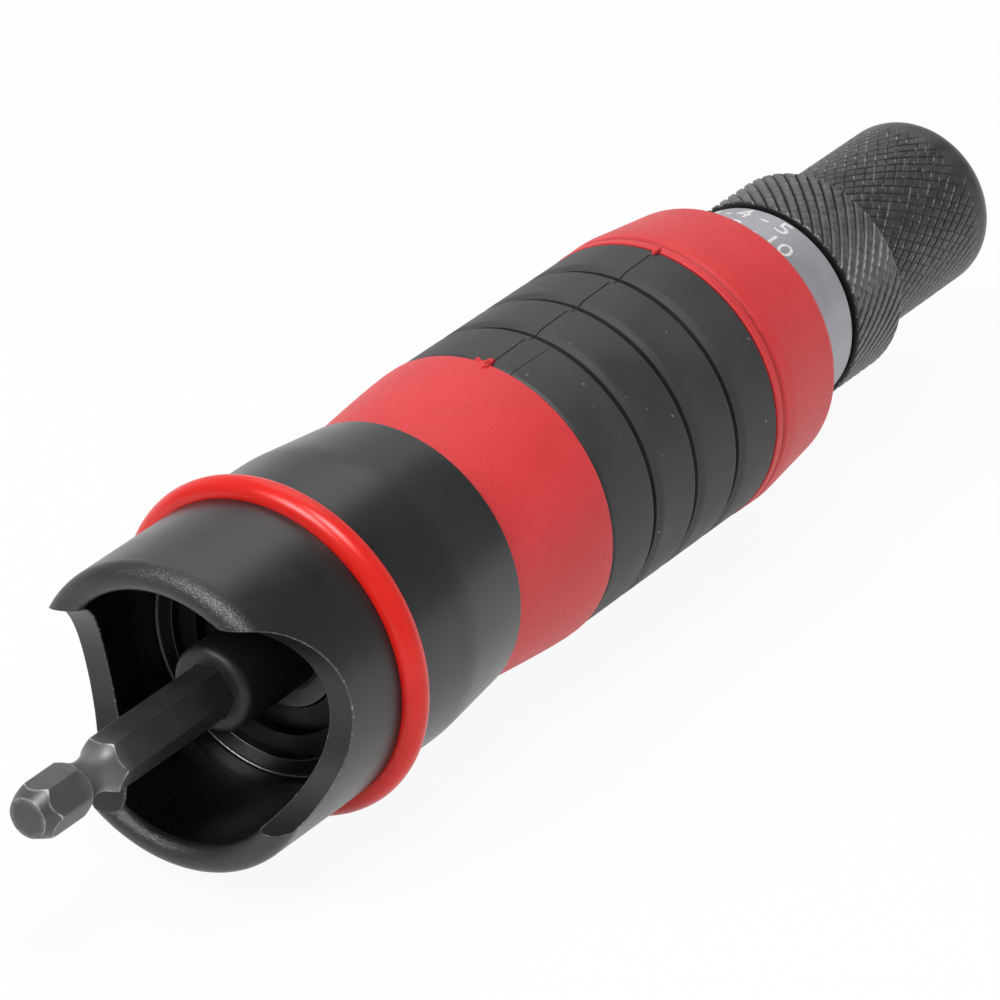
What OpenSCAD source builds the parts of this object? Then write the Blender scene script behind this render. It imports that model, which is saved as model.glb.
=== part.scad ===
// Rivet nut adapter for a drill: a hex shank turns a captive screw, the screw draws a
// sleeve back inside the barrel, and the sleeve pulls the mandrel of the rivet nut.
// The tool lies along Y: the shank's end is the origin, the nose points to +Y, +Z is up.

/* [Drive shank] */
// Hexagon across its flats
shank_af = 6.35; // [6:0.05:8]
// Length of shank that stands out in front of the cup's rim
shank_out = 25.55; // [22:0.05:40]
// Length of shank held inside the spindle
shank_grip = 20; // [15:0.5:21.5]
// Radius of the end face inside the chamfer
shank_end_r = 2.6; // [2.3:0.05:3.2]
// Length of the chamfer on the end
shank_chamfer = 2.3; // [0.5:0.1:3]
// Distance from the end to the middle of the detent groove
groove_at = 10.95; // [8:0.05:12]
// Radius at the bottom of the detent groove
groove_floor_r = 2.3; // [2:0.05:2.8]
// Radius of the round cutter that leaves the detent groove
groove_cutter_r = 4.8; // [2.5:0.1:5.5]
// Length of the spindle's boss that stands in the cup
boss_len = 11.1; // [6:0.1:14]
// Rounding of the boss's front edge
boss_round = 1.1; // [0.4:0.1:1.6]
// Loss of radius of the boss, so that the ball bearing slides over it
boss_drop = 0.4; // [0.1:0.05:0.6]
// Radius of the cross hole that pins the shank in the spindle
pin_hole_r = 1.25; // [0.8:0.05:1.6]
// Roll of the hexagon about the axis
shank_roll = 54; // [0:0.5:60]

/* [Cup and neck] */
// Outer radius of the cup
cup_r = 20; // [19.6:0.1:24]
// Radius of the cup's bore
cup_bore_r = 16.5; // [15.5:0.1:16.9]
// Depth of the cup from its rim to its floor
cup_depth = 19.85; // [16:0.05:24]
// Length of the cup and the neck together
cup_len = 45.95; // [43:0.05:55]
// Rounding of the rim's outer edge
rim_round = 1.5; // [0.8:0.1:1.9]
// Rounding of the rim's inner edge
rim_inner_round = 1.2; // [0.4:0.1:1.3]
// Length of the neck's taper
neck_taper_len = 11.6; // [6:0.1:13]
// Height of the neck's end over the red band that comes out of it
neck_lip = 0.65; // [0.3:0.05:1]
// Radius of the round cutter that makes the two side openings
scallop_r = 13.5; // [10:0.1:16]
// Distance of that cutter's axis in front of the rim
scallop_ahead = 3.25; // [0.5:0.05:5]
// Roll of the side openings about the axis
scallop_roll = 12.5; // [-30:0.5:30]

/* [Bumper ring] */
// Radius of the ring's cord
cord_r = 2; // [1.5:0.05:2.2]
// Radius of the circle through the middle of the cord
cord_circle_r = 20.1; // [20:0.05:20.6]
// Distance from the cup's rim to the middle of the ring
cord_from_rim = 21.6; // [20:0.1:24]

/* [Grip] */
// Length of the red band behind the neck
rear_band_len = 18.3; // [12:0.1:26]
// Loss of radius of that band where it comes out of the neck
rear_band_drop = 1.55; // [1.2:0.05:2]
// Length of that band's straight part beside the rubber
rear_band_straight = 1.5; // [0.5:0.1:3]
// Power of that band's curve: 1 is a cone, more makes it rounder
rear_band_power = 1.2; // [1:0.1:2.5]
// Height of both red bands over the rubber beside them
band_proud = 0.15; // [0:0.05:0.4]
// Length of the rubber sleeve
rubber_len = 36.75; // [30:0.25:48]
// Radius of the rubber sleeve
grip_r = 19.4; // [18.8:0.05:20.5]
// Thickness of the rubber
rubber_t = 2.3; // [1.5:0.1:2.6]
// Number of rings that the grooves divide the rubber into
rubber_rings = 4; // [2:1:6]
// Depth of the step that ends each rubber ring
rubber_step = 0.65; // [0.3:0.05:1]
// Length of the slope that starts the next rubber ring
rubber_slope = 2; // [1:0.1:4]
// Depth of the narrow slit at the foot of that step
rubber_slit = 1.1; // [1:0.05:1.3]
// Width of that slit
rubber_slit_w = 0.5; // [0.3:0.05:0.8]
// Thickness of the red plastic under the rubber
core_wall = 1.45; // [1.2:0.05:2]
// Length of the red band at the nose end
front_band_len = 16; // [12:0.1:22]
// Length of the straight part of that band
front_band_straight = 4; // [2:0.1:7]
// Loss of radius of that band at its far edge
front_band_drop = 1.45; // [0.5:0.05:1.9]
// Rounding of the grip's far edge
front_band_round = 1.6; // [0.6:0.1:2]
// Thickness of the lip that closes the grip in front of the tube
grip_lip_t = 3.4; // [2:0.1:4]

/* [Nose] */
// Outer radius of the grey size ring
size_ring_r = 13.8; // [13:0.05:15]
// Length of the size ring that shows
size_ring_out = 10.3; // [8:0.1:14]
// Thickness of the black seal between size ring and collar
seal_t = 0.7; // [0.5:0.05:1.2]
// Depth of the seal's edge below the size ring
seal_drop = 0.5; // [0.2:0.05:1]
// Radius of the lock collar over its knurl
collar_r = 14.25; // [13:0.05:15.5]
// Length of the lock collar
collar_len = 11; // [8:0.1:15]
// Thickness of the nose sleeve's wall from its thread to the tips of its knurl
sleeve_skin = 1.8; // [1.4:0.05:3]
// Length of the nose sleeve
sleeve_len = 27.7; // [25:0.1:34]
// Rounding of the nose sleeve's far edge
sleeve_round = 4.2; // [1:0.1:4.4]
// Thickness of the nose sleeve's end wall
sleeve_wall = 7; // [5:0.1:9]
// Outer radius of the thread on the nose tube
nose_thread_r = 9.8; // [9.6:0.05:10]
// Radius of the nose tube's bore
nose_bore_r = 8.3; // [8.2:0.05:8.5]
// Length of the nose tube inside the nose sleeve
nose_tube_in_sleeve = 15; // [12:0.1:16]
// Radius of the nose tube's root, screwed into the barrel
nose_root_r = 12.4; // [11.6:0.05:12.8]
// Length of the nose tube's root
nose_root_len = 5.4; // [4:0.1:8]
// Radius of the anvil bush in the end wall
anvil_r = 7; // [6.4:0.05:7.4]
// Radius of the anvil's bore for the mandrel
anvil_bore_r = 5.2; // [4:0.05:5.6]
// Radius of the anvil's flange
anvil_flange_r = 8.3; // [7.8:0.05:8.6]
// Thickness of the anvil's flange
anvil_flange_t = 2; // [1.2:0.1:2.6]
// Distance of the anvil's end face behind the nose sleeve's end
anvil_recess = 0.2; // [0.1:0.05:0.5]
// Thickness of the snap ring behind the anvil's flange
snap_t = 1; // [0.6:0.05:1.2]
// Depth of the snap ring's groove in the nose sleeve
snap_bite = 0.7; // [0.4:0.05:0.8]
// Width over which the snap ring holds the anvil's flange
snap_lip = 0.9; // [0.5:0.05:1.2]
// Width of the snap ring's opening
snap_open = 3; // [2:0.1:5]

/* [Bearings] */
// Bore radius of the ball bearing, and so the spindle's radius
bearing_bore_r = 6; // [5.5:0.1:6.5]
// Outer radius of the ball bearing
bearing_r = 14; // [13.5:0.1:14.6]
// Width of the ball bearing
bearing_w = 8; // [7:0.1:10]
// Number of balls
ball_count = 8; // [6:1:9]
// Radius of each ball
ball_r = 2.38; // [2:0.02:2.6]
// Depth of the raceways, measured on the ball
race_depth = 0.58; // [0.4:0.02:0.7]
// Half thickness of the balls' cage
cage_wall = 0.9; // [0.6:0.05:1]
// Width of the cage's rim beside each ball
cage_rim = 0.45; // [0.3:0.05:0.6]
// Thickness of the bearing's shield
shield_t = 0.4; // [0.3:0.05:0.5]
// Thickness of the retaining ring in front of the bearing
ring_t = 1.2; // [0.8:0.1:1.6]
// Radial width of the retaining ring inside the bearing's outer edge
ring_w = 2.6; // [2:0.1:3]
// Depth of the retaining ring's groove
ring_bite = 0.7; // [0.4:0.05:0.9]
// Angle of the retaining ring's opening
ring_open = 44; // [20:1:60]
// Angle from that opening to the plier hole of each ear
ear_angle = 7; // [6:0.5:12]
// Radius of the plier holes
ear_hole_r = 0.7; // [0.4:0.05:0.8]
// Depth of the seat in front of the retaining ring
seat_lead = 1.2; // [0.8:0.1:2]
// Thickness of the spindle's hub between ball bearing and flange
hub_t = 0.5; // [0.3:0.05:1]
// Thickness of the spindle's flange
flange_t = 4; // [3:0.1:6]
// Radius of the spindle's flange
flange_r = 12.3; // [11.6:0.1:12.6]
// Outer radius of the thrust washers
thrust_r = 12.8; // [12.2:0.1:13]
// Thickness of each thrust washer
washer_t = 1; // [0.8:0.1:1.6]
// Radius of the thrust rollers
roller_r = 1; // [0.8:0.05:1.3]
// Distance of the rollers from both edges of the thrust washers
roller_inset = 1.4; // [1:0.1:1.8]
// Number of thrust rollers
roller_count = 16; // [10:1:18]

/* [Screw and puller] */
// Radius of the screw over its thread
screw_r = 5; // [4.6:0.05:5.2]
// Thickness of the ring that keeps the draw sleeve on the screw
stop_t = 1.2; // [0.8:0.1:1.6]
// Depth of that ring's groove in the screw
stop_groove = 0.8; // [0.5:0.05:1]
// Height over the screw of the bore that clears that ring
stop_room = 1; // [0.8:0.05:1.2]
// Distance from the draw sleeve at rest to the nose tube's root
draw_play = 1; // [0.5:0.1:2]
// Travel of the draw sleeve towards the shank
stroke = 7; // [5:0.1:8]
// Length of the draw sleeve's thread
nut_len = 17.5; // [15:0.1:20]
// Length of the draw sleeve
draw_len = 42; // [39:0.1:44]
// Radius of the barrel's guide bore
guide_bore_r = 10.5; // [10.4:0.05:10.9]
// Radius of the chuck that holds the mandrel
chuck_r = 8; // [7.6:0.05:8]
// Length of the chuck in front of the draw sleeve
chuck_out = 30; // [26:0.1:34]
// Radius of the chuck's spigot inside the draw sleeve
chuck_spigot_r = 6.4; // [6:0.05:6.6]
// Length of the wrench flats on the chuck
flats_len = 4; // [3:0.1:8]
// Depth of the wrench flats
flats_depth = 0.9; // [0.4:0.05:1.2]
// Length of the chuck inside the draw sleeve
chuck_in = 12; // [10:0.1:13]
// Radius of the chuck's threaded socket
socket_r = 4; // [3:0.05:4.6]
// Depth of the chuck's threaded socket
socket_len = 14; // [10:0.1:18]
// Radius of the two small screws that hold the mandrel
set_screw_r = 1.25; // [0.8:0.05:1.6]
// Depth of the draw sleeve's slots for the guide pins
slot_depth = 2.6; // [2:0.1:3]
// Radius of the guide pins that keep the draw sleeve from turning
pin_r = 1.5; // [1.2:0.05:1.8]
// Distance from the draw sleeve's rear end to the guide pins
pin_inset = 7.5; // [5.5:0.1:9]

/* [Edges and clearances] */
// Rounding of small turned edges
edge_round = 0.5; // [0.2:0.05:0.6]
// Gap between pieces that are fixed together
seat_gap = 0.05; // [0.02:0.01:0.1]
// Radial gap of a running or sliding fit
run_gap = 0.06; // [0.03:0.01:0.1]
// Gap between moving pieces that do not guide each other
free_gap = 0.3; // [0.2:0.05:0.4]
// Gap around each ball and roller
ball_gap = 0.1; // [0.05:0.01:0.15]

/* [Hidden] */
$fn = 96;
eps = 0.01;
lap = 1;
far = 400;

band_r = grip_r + band_proud;
rear_band_r = band_r - rear_band_drop;
front_band_r = band_r - front_band_drop;
neck_end_r = rear_band_r + neck_lip;
rubber_bed_r = grip_r - rubber_t;
grip_bore_r = rubber_bed_r - core_wall;
tube_r = grip_bore_r - seat_gap;

y_rim = shank_out;
y_floor = y_rim + cup_depth;
y_boss = y_floor - boss_len;
boss_r = bearing_bore_r - boss_drop;
y_cord = y_rim + cord_from_rim;
y_neck = y_rim + cup_len;
y_ring = y_floor + seat_lead;
y_bearing = y_ring + ring_t;
y_shoulder = y_bearing + bearing_w;
y_flange = y_shoulder + hub_t;
y_washer = y_flange + flange_t;
y_rollers = y_washer + washer_t;
roller_space = 2 * (roller_r + ball_gap);
y_thrust_front = y_rollers + roller_space;
y_thrust_seat = y_thrust_front + washer_t;

y_rubber = y_neck + rear_band_len;
y_front_band = y_rubber + rubber_len;
y_grip_end = y_front_band + front_band_len;
y_tube_end = y_grip_end - grip_lip_t;
y_seal = y_grip_end + size_ring_out;
y_collar = y_seal + seal_t;
y_sleeve = y_collar + collar_len;
y_end = y_sleeve + sleeve_len;
y_nose_tube_end = y_sleeve + nose_tube_in_sleeve;
y_wall = y_end - sleeve_wall;

y_root = y_tube_end - nose_root_len;
y_draw_end = y_root - draw_play;
y_draw = y_draw_end - draw_len;
y_nut_end = y_draw + nut_len;
y_pin = y_draw + pin_inset;
y_stop = y_nut_end + free_gap;
y_screw_end = y_stop + 2 * stop_t;
y_chuck_end = y_draw_end + chuck_out;
draw_clear_r = screw_r + stop_room;
draw_r = guide_bore_r - run_gap;
draw_socket_r = chuck_spigot_r + seat_gap;

seat_r = bearing_r + seat_gap;
thrust_seat_r = thrust_r + free_gap;
ball_circle_r = (bearing_r + bearing_bore_r) / 2;
race_r = ball_r + ball_gap;
race_land = ball_r - race_depth;
groove_in_seat_r = bearing_r + ring_bite;
hex_sides = 6;
shank_corner_r = shank_af / 2 / cos(180 / hex_sides);
inner_race_r = ball_circle_r - race_land;
outer_race_r = ball_circle_r + race_land;
y_balls = y_bearing + bearing_w / 2;
cage_half_w = race_r + cage_rim;
ring_in_r = bearing_r - ring_w;
roller_in_r = bearing_bore_r + roller_inset;
roller_len = thrust_r - roller_inset - roller_in_r;
stop_groove_r = screw_r - stop_groove;
draw_slot_r = guide_bore_r - slot_depth;
sleeve_r = nose_thread_r + sleeve_skin;
snap_out_r = nose_thread_r + snap_bite;
y_snap = y_wall - anvil_flange_t - free_gap - snap_t;

black = [0.13, 0.13, 0.14];
red = [0.78, 0.13, 0.14];
bright_red = [0.88, 0.1, 0.08];
steel = [0.62, 0.63, 0.65];
dark_steel = [0.25, 0.25, 0.26];
grey = [0.55, 0.55, 0.58];

// Turns a half section (x = radius, y = distance along the tool) about the tool's axis.
module turned() {
    rotate([-90, 0, 0]) rotate_extrude() children();
}

// Stands a piece that is drawn along Z on the tool's axis, starting at distance y.
module along(y) {
    translate([0, y, 0]) rotate([-90, 0, 0]) children();
}

// Half section of a tube between two radii and two distances.
module band(r_in, r_out, y0, y1) {
    translate([r_in, y0]) square([r_out - r_in, y1 - y0]);
}

// Corner of a half section that a rounding of radius r removes; dx and dy point to the corner.
module corner(x, y, r, dx, dy) {
    difference() {
        translate([x - (dx > 0 ? r : 0), y - (dy > 0 ? r : 0)])
            translate([dx > 0 ? 0 : -eps, dy > 0 ? 0 : -eps])
            square(r + eps);
        translate([x - dx * r, y - dy * r]) circle(r);
    }
}

// Half section of a torus around the tool's axis.
module cord_section(circle_r, r, y) {
    translate([circle_r, y]) circle(r);
}

module barrel_section() {
    difference() {
        union() {
            polygon([
                [0, y_rim], [cup_r, y_rim], [cup_r, y_neck - neck_taper_len],
                [neck_end_r, y_neck], [0, y_neck]
            ]);
            band(0, tube_r, y_neck - lap, y_tube_end);
        }
        corner(cup_r, y_rim, rim_round, 1, -1);
        corner(cup_bore_r, y_rim, rim_inner_round, -1, -1);
        band(-eps, cup_bore_r, y_rim - lap, y_floor);
        band(-eps, seat_r, y_floor - lap, y_shoulder);
        band(0, groove_in_seat_r, y_ring, y_bearing);
        band(-eps, thrust_seat_r, y_shoulder - lap, y_thrust_seat);
        band(-eps, guide_bore_r, y_thrust_seat - lap, y_tube_end + lap);
        band(-eps, nose_root_r + seat_gap, y_root, y_tube_end + lap);
        cord_section(cord_circle_r, cord_r + seat_gap, y_cord);
    }
}

module barrel() {
    color(black) difference() {
        turned() barrel_section();
        translate([0, y_rim - scallop_ahead, 0]) rotate([0, -scallop_roll, 0]) rotate([0, 90, 0])
            cylinder(r = scallop_r, h = 4 * cup_r, center = true);
        at_pins() cylinder(r = pin_r + seat_gap, h = far);
    }
}

// Places the two guide pins, drawn along Z, at opposite sides of the barrel.
module at_pins() {
    for (side = [0, 180])
        translate([0, y_pin, 0]) rotate([0, side, 0]) children();
}

module bumper_ring() {
    color(bright_red) turned() cord_section(cord_circle_r, cord_r, y_cord);
}

// Point of the rear band's curve, from the neck (t = 0) to its straight part (t = 1).
function rear_curve(t) = [
    band_r - rear_band_drop * pow(1 - t, rear_band_power),
    y_neck + seat_gap + t * (rear_band_len - rear_band_straight - seat_gap)
];

module grip_core() {
    color(red) turned() difference() {
        polygon(concat(
            [[0, y_neck + seat_gap]],
            [for (t = [0 : 0.2 : 1]) rear_curve(t)],
            [
                [band_r, y_rubber], [rubber_bed_r, y_rubber], [rubber_bed_r, y_front_band],
                [band_r, y_front_band], [band_r, y_front_band + front_band_straight],
                [front_band_r, y_grip_end], [0, y_grip_end]
            ]
        ));
        band(-eps, grip_bore_r, y_neck - lap, y_tube_end + seat_gap);
        band(-eps, size_ring_r + seat_gap, y_tube_end, y_grip_end + lap);
        corner(front_band_r, y_grip_end, front_band_round, 1, 1);
    }
}

// Half section of what is cut away where one rubber ring ends and the next one starts at y.
module rubber_notch(y) {
    translate([grip_r, y]) {
        polygon([[eps, 0], [-rubber_step, 0], [eps, rubber_slope]]);
        translate([-rubber_slit, 0]) square([rubber_slit + eps, rubber_slit_w]);
    }
}

module grip_rubber() {
    color(black) turned() difference() {
        band(rubber_bed_r + seat_gap, grip_r, y_rubber + seat_gap, y_front_band - seat_gap);
        for (k = [1 : rubber_rings - 1])
            rubber_notch(y_rubber + k * rubber_len / rubber_rings);
    }
}

module size_ring() {
    color(grey) turned() difference() {
        band(nose_thread_r + seat_gap, size_ring_r, y_tube_end + seat_gap, y_seal);
        corner(size_ring_r, y_seal, edge_round, 1, 1);
    }
}

module nose_tube() {
    color(dark_steel) turned() difference() {
        union() {
            band(nose_bore_r, nose_root_r, y_root + seat_gap, y_tube_end);
            band(nose_bore_r, nose_thread_r, y_tube_end - lap, y_nose_tube_end);
        }
        corner(nose_thread_r, y_nose_tube_end, edge_round, 1, 1);
    }
}

module seal_ring() {
    color(black) turned()
        band(nose_thread_r + seat_gap, size_ring_r - seal_drop, y_seal, y_collar - seat_gap);
}

// Half section of the two raceways: what is left of a block after the balls' path is cut away.
module race_section(r_in, r_out) {
    difference() {
        band(r_in, r_out, y_bearing, y_shoulder);
        cord_section(ball_circle_r, race_r, y_balls);
    }
}

module bearing_outer_race() {
    color(steel) turned() race_section(outer_race_r, bearing_r);
}

module bearing_inner_race() {
    color(steel) turned() race_section(bearing_bore_r + seat_gap, inner_race_r);
}

module bearing_shield() {
    color(dark_steel) turned()
        band(inner_race_r + free_gap, outer_race_r - seat_gap,
             y_bearing + shield_t, y_bearing + 2 * shield_t);
}

module retaining_ring() {
    color(dark_steel) difference() {
        turned() band(ring_in_r, groove_in_seat_r - seat_gap, y_ring + seat_gap, y_bearing - seat_gap);
        along(y_ring - lap) rotate(-ring_open / 2)
            rotate_extrude(angle = ring_open) square([far, ring_t + 2 * lap]);
        for (a = [-1, 1])
            along(y_ring - lap) rotate(a * (ring_open / 2 + ear_angle))
                translate([ring_in_r + ring_w / 2, 0]) cylinder(r = ear_hole_r, h = ring_t + 2 * lap);
    }
}

module thrust_washer_front() {
    color(steel) turned()
        band(bearing_bore_r + free_gap, thrust_r, y_thrust_front, y_thrust_seat);
}

module guide_pins() {
    color(steel) at_pins() translate([0, 0, draw_slot_r + free_gap])
        cylinder(r = pin_r, h = tube_r - draw_slot_r - free_gap - seat_gap);
}

module drive_shank() {
    color(dark_steel) difference() {
        intersection() {
            along(0) rotate(shank_roll)
                cylinder(r = shank_corner_r, h = y_boss + shank_grip, $fn = hex_sides);
            turned() polygon([
                [0, 0], [shank_end_r, 0], [shank_corner_r + eps, shank_chamfer],
                [shank_corner_r + eps, far], [0, far]
            ]);
        }
        turned() cord_section(groove_floor_r + groove_cutter_r, groove_cutter_r, groove_at);
        shank_pin_hole(pin_hole_r);
    }
}

// Cross hole for the pin that holds the shank, hidden under the bearing's inner race.
module shank_pin_hole(r) {
    translate([0, y_balls, 0]) cylinder(r = r, h = far, center = true);
}

module shank_pin() {
    color(steel) translate([0, y_balls, 0])
        cylinder(r = pin_hole_r - seat_gap, h = 2 * (bearing_bore_r - free_gap), center = true);
}

module spindle() {
    color(dark_steel) difference() {
        turned() difference() {
            union() {
                band(0, boss_r, y_boss, y_bearing + lap);
                band(0, bearing_bore_r, y_bearing, y_thrust_seat + hub_t);
                band(0, inner_race_r - free_gap, y_shoulder, y_flange + lap);
                band(0, flange_r, y_flange, y_washer);
                band(0, screw_r, y_thrust_seat, y_screw_end);
            }
            corner(boss_r, y_boss, boss_round, 1, -1);
            corner(screw_r, y_screw_end, edge_round, 1, 1);
            band(stop_groove_r, far, y_stop - seat_gap, y_stop + stop_t + seat_gap);
        }
        along(y_boss - lap) rotate(shank_roll)
            cylinder(r = shank_corner_r + seat_gap, h = shank_grip + seat_gap + lap, $fn = hex_sides);
        shank_pin_hole(pin_hole_r);
    }
}

module thrust_washer_rear() {
    color(steel) turned() band(bearing_bore_r + seat_gap, thrust_r, y_washer, y_rollers);
}

module screw_stop_ring() {
    color(steel) turned()
        band(stop_groove_r + seat_gap, draw_clear_r - free_gap, y_stop, y_stop + stop_t);
}

// Places the balls' centres around the bearing.
module at_balls() {
    for (k = [0 : ball_count - 1])
        along(y_balls) rotate(k * 360 / ball_count)
            translate([ball_circle_r, 0, 0]) children();
}

module bearing_cage() {
    color("goldenrod") difference() {
        turned() band(ball_circle_r - cage_wall, ball_circle_r + cage_wall,
                      y_balls - cage_half_w, y_balls + cage_half_w);
        at_balls() rotate([0, 90, 0]) cylinder(r = race_r, h = 4 * cage_wall, center = true);
    }
}

module bearing_balls() {
    color(steel) at_balls() sphere(ball_r);
}

// Places the thrust rollers, drawn along Z, as spokes between the thrust washers.
module at_rollers() {
    for (k = [0 : roller_count - 1])
        translate([0, y_rollers + roller_space / 2, 0]) rotate([0, k * 360 / roller_count, 0])
            translate([0, 0, roller_in_r]) children();
}

module thrust_rollers() {
    color(steel) at_rollers() cylinder(r = roller_r, h = roller_len, $fn = 32);
}

module thrust_cage() {
    color("goldenrod") difference() {
        turned() band(bearing_bore_r + free_gap, thrust_r - free_gap,
                      y_rollers + free_gap, y_thrust_front - free_gap);
        at_rollers() translate([0, 0, -ball_gap])
            cylinder(r = roller_r + ball_gap, h = roller_len + 2 * ball_gap, $fn = 32);
    }
}

module draw_sleeve() {
    color(steel) difference() {
        turned() difference() {
            band(0, draw_r, y_draw, y_draw_end);
            band(-eps, screw_r + run_gap, y_draw - lap, y_nut_end + eps);
            band(-eps, draw_clear_r, y_nut_end, y_draw_end);
            band(-eps, draw_socket_r, y_draw_end - chuck_in, y_draw_end + lap);
            corner(draw_r, y_draw, edge_round, 1, -1);
        }
        for (side = [0, 180])
            rotate([0, side, 0])
                translate([-pin_r - run_gap, y_pin - pin_r - free_gap, draw_slot_r])
                cube([2 * (pin_r + run_gap), stroke + 2 * (pin_r + free_gap), far]);
    }
}

// Wrench flats on the chuck, in front of the draw sleeve.
module chuck_flats() {
    for (side = [0, 180])
        rotate([0, side, 0]) translate([-far / 2, y_draw_end + flats_len / 4, chuck_r - flats_depth])
            cube([far, flats_len, far]);
}

module mandrel_chuck() {
    color(dark_steel) difference() {
        turned() difference() {
            union() {
                band(0, chuck_spigot_r, y_draw_end - chuck_in + seat_gap, y_draw_end + lap);
                band(0, chuck_r, y_draw_end + seat_gap, y_chuck_end);
            }
            band(-eps, socket_r, y_chuck_end - socket_len, y_chuck_end + lap);
            polygon([
                [0, y_chuck_end + eps], [socket_r + 2 * edge_round, y_chuck_end + eps],
                [socket_r, y_chuck_end - 2 * edge_round], [0, y_chuck_end - 2 * edge_round]
            ]);
            corner(chuck_r, y_chuck_end, edge_round, 1, 1);
        }
        chuck_flats();
        at_set_screws() cylinder(r = set_screw_r + seat_gap, h = far);
    }
}

// Places the two small screws that hold the mandrel in the socket, drawn along Z.
module at_set_screws() {
    for (side = [90, 270])
        translate([0, y_chuck_end - socket_len / 2, 0]) rotate([0, side, 0])
            translate([0, 0, socket_r - lap]) children();
}

module chuck_set_screws() {
    color(dark_steel) at_set_screws() translate([0, 0, lap + free_gap])
        cylinder(r = set_screw_r, h = chuck_r - socket_r - 2 * free_gap);
}

module lock_collar() {
    color(dark_steel) turned() difference() {
        band(nose_thread_r + run_gap, collar_r, y_collar, y_sleeve - seat_gap);
        corner(collar_r, y_collar, edge_round, 1, -1);
        corner(collar_r, y_sleeve - seat_gap, edge_round, 1, 1);
    }
}

module anvil_bush() {
    color(steel) turned() difference() {
        union() {
            band(anvil_bore_r, anvil_r - run_gap, y_wall - anvil_flange_t, y_end - anvil_recess);
            band(anvil_bore_r, anvil_flange_r, y_wall - anvil_flange_t, y_wall - run_gap);
        }
        corner(anvil_r - run_gap, y_end - anvil_recess, edge_round, 1, 1);
    }
}

module nose_sleeve() {
    color(dark_steel) turned() difference() {
        band(0, sleeve_r, y_sleeve, y_end);
        band(-eps, nose_thread_r + run_gap, y_sleeve - lap, y_wall);
        band(-eps, anvil_r, y_wall - lap, y_end + lap);
        band(0, snap_out_r + seat_gap, y_snap - seat_gap, y_snap + snap_t + seat_gap);
        corner(sleeve_r, y_end, sleeve_round, 1, 1);
        corner(sleeve_r, y_sleeve, edge_round, 1, -1);
    }
}

module anvil_snap_ring() {
    color(steel) difference() {
        turned() band(anvil_flange_r - snap_lip, snap_out_r, y_snap, y_snap + snap_t);
        translate([-snap_open / 2, y_snap - lap, 0]) cube([snap_open, snap_t + 2 * lap, far]);
    }
}

barrel();
bumper_ring();
grip_core();
grip_rubber();
size_ring();
nose_tube();
seal_ring();
bearing_outer_race();
bearing_shield();
retaining_ring();
thrust_washer_front();
guide_pins();
drive_shank();
shank_pin();
spindle();
bearing_inner_race();
thrust_washer_rear();
screw_stop_ring();
bearing_cage();
bearing_balls();
thrust_cage();
thrust_rollers();
draw_sleeve();
mandrel_chuck();
chuck_set_screws();
lock_collar();
anvil_bush();
nose_sleeve();
anvil_snap_ring();
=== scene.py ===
# %% [markdown]
# # Dressing a rivet nut tool
# A drill turns the hex shank of this tool, a screw inside draws a mandrel back, and the mandrel squeezes a
# rivet nut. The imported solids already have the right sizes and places. This lesson gives every surface that
# shows a finer skin, worked out with numpy, and a finish made of shader nodes.
# The tool lies along +Y: the shank's end is the origin, the nose points to +Y, and +Z is up.

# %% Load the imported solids
import bmesh
import bpy
import numpy as np
from mathutils import Matrix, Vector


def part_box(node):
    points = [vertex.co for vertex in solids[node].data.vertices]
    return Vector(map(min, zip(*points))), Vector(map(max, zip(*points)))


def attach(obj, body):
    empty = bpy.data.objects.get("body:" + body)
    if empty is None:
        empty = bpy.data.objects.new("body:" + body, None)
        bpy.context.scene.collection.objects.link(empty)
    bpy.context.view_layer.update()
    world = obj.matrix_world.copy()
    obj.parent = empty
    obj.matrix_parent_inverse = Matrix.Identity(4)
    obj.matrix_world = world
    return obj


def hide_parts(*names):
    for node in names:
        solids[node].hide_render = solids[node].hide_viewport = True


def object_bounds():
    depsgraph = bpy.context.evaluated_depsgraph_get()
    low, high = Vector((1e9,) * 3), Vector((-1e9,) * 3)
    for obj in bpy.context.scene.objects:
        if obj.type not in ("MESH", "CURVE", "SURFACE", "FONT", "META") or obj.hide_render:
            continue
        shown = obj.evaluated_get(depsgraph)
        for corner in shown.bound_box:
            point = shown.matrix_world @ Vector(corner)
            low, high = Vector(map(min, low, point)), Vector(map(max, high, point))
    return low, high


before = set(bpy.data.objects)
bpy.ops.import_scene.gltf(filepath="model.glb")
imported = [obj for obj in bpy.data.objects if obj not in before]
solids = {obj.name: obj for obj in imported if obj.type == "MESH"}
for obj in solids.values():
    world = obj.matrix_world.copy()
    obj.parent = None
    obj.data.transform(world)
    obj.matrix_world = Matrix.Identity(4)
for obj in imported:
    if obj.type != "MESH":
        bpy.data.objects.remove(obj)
cad_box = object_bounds()
scene = bpy.context.scene
print("solids loaded:", len(solids))

# %% [markdown]
# Nearly every piece is turned on a lathe, so its box already says where it starts, where it ends and how
# far it reaches from the axis. Taking these stations from the solids keeps each skin where its solid is,
# and no size has to be written twice. Sizes are in millimetres until a mesh is made of them.

# %% Stations along the tool
MM = 0.001


def reach(node):
    """Start and end along the tool and outer radius of a turned solid, in mm, taken from its box."""
    low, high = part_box(node)
    return low.y / MM, high.y / MM, high.x / MM


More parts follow.
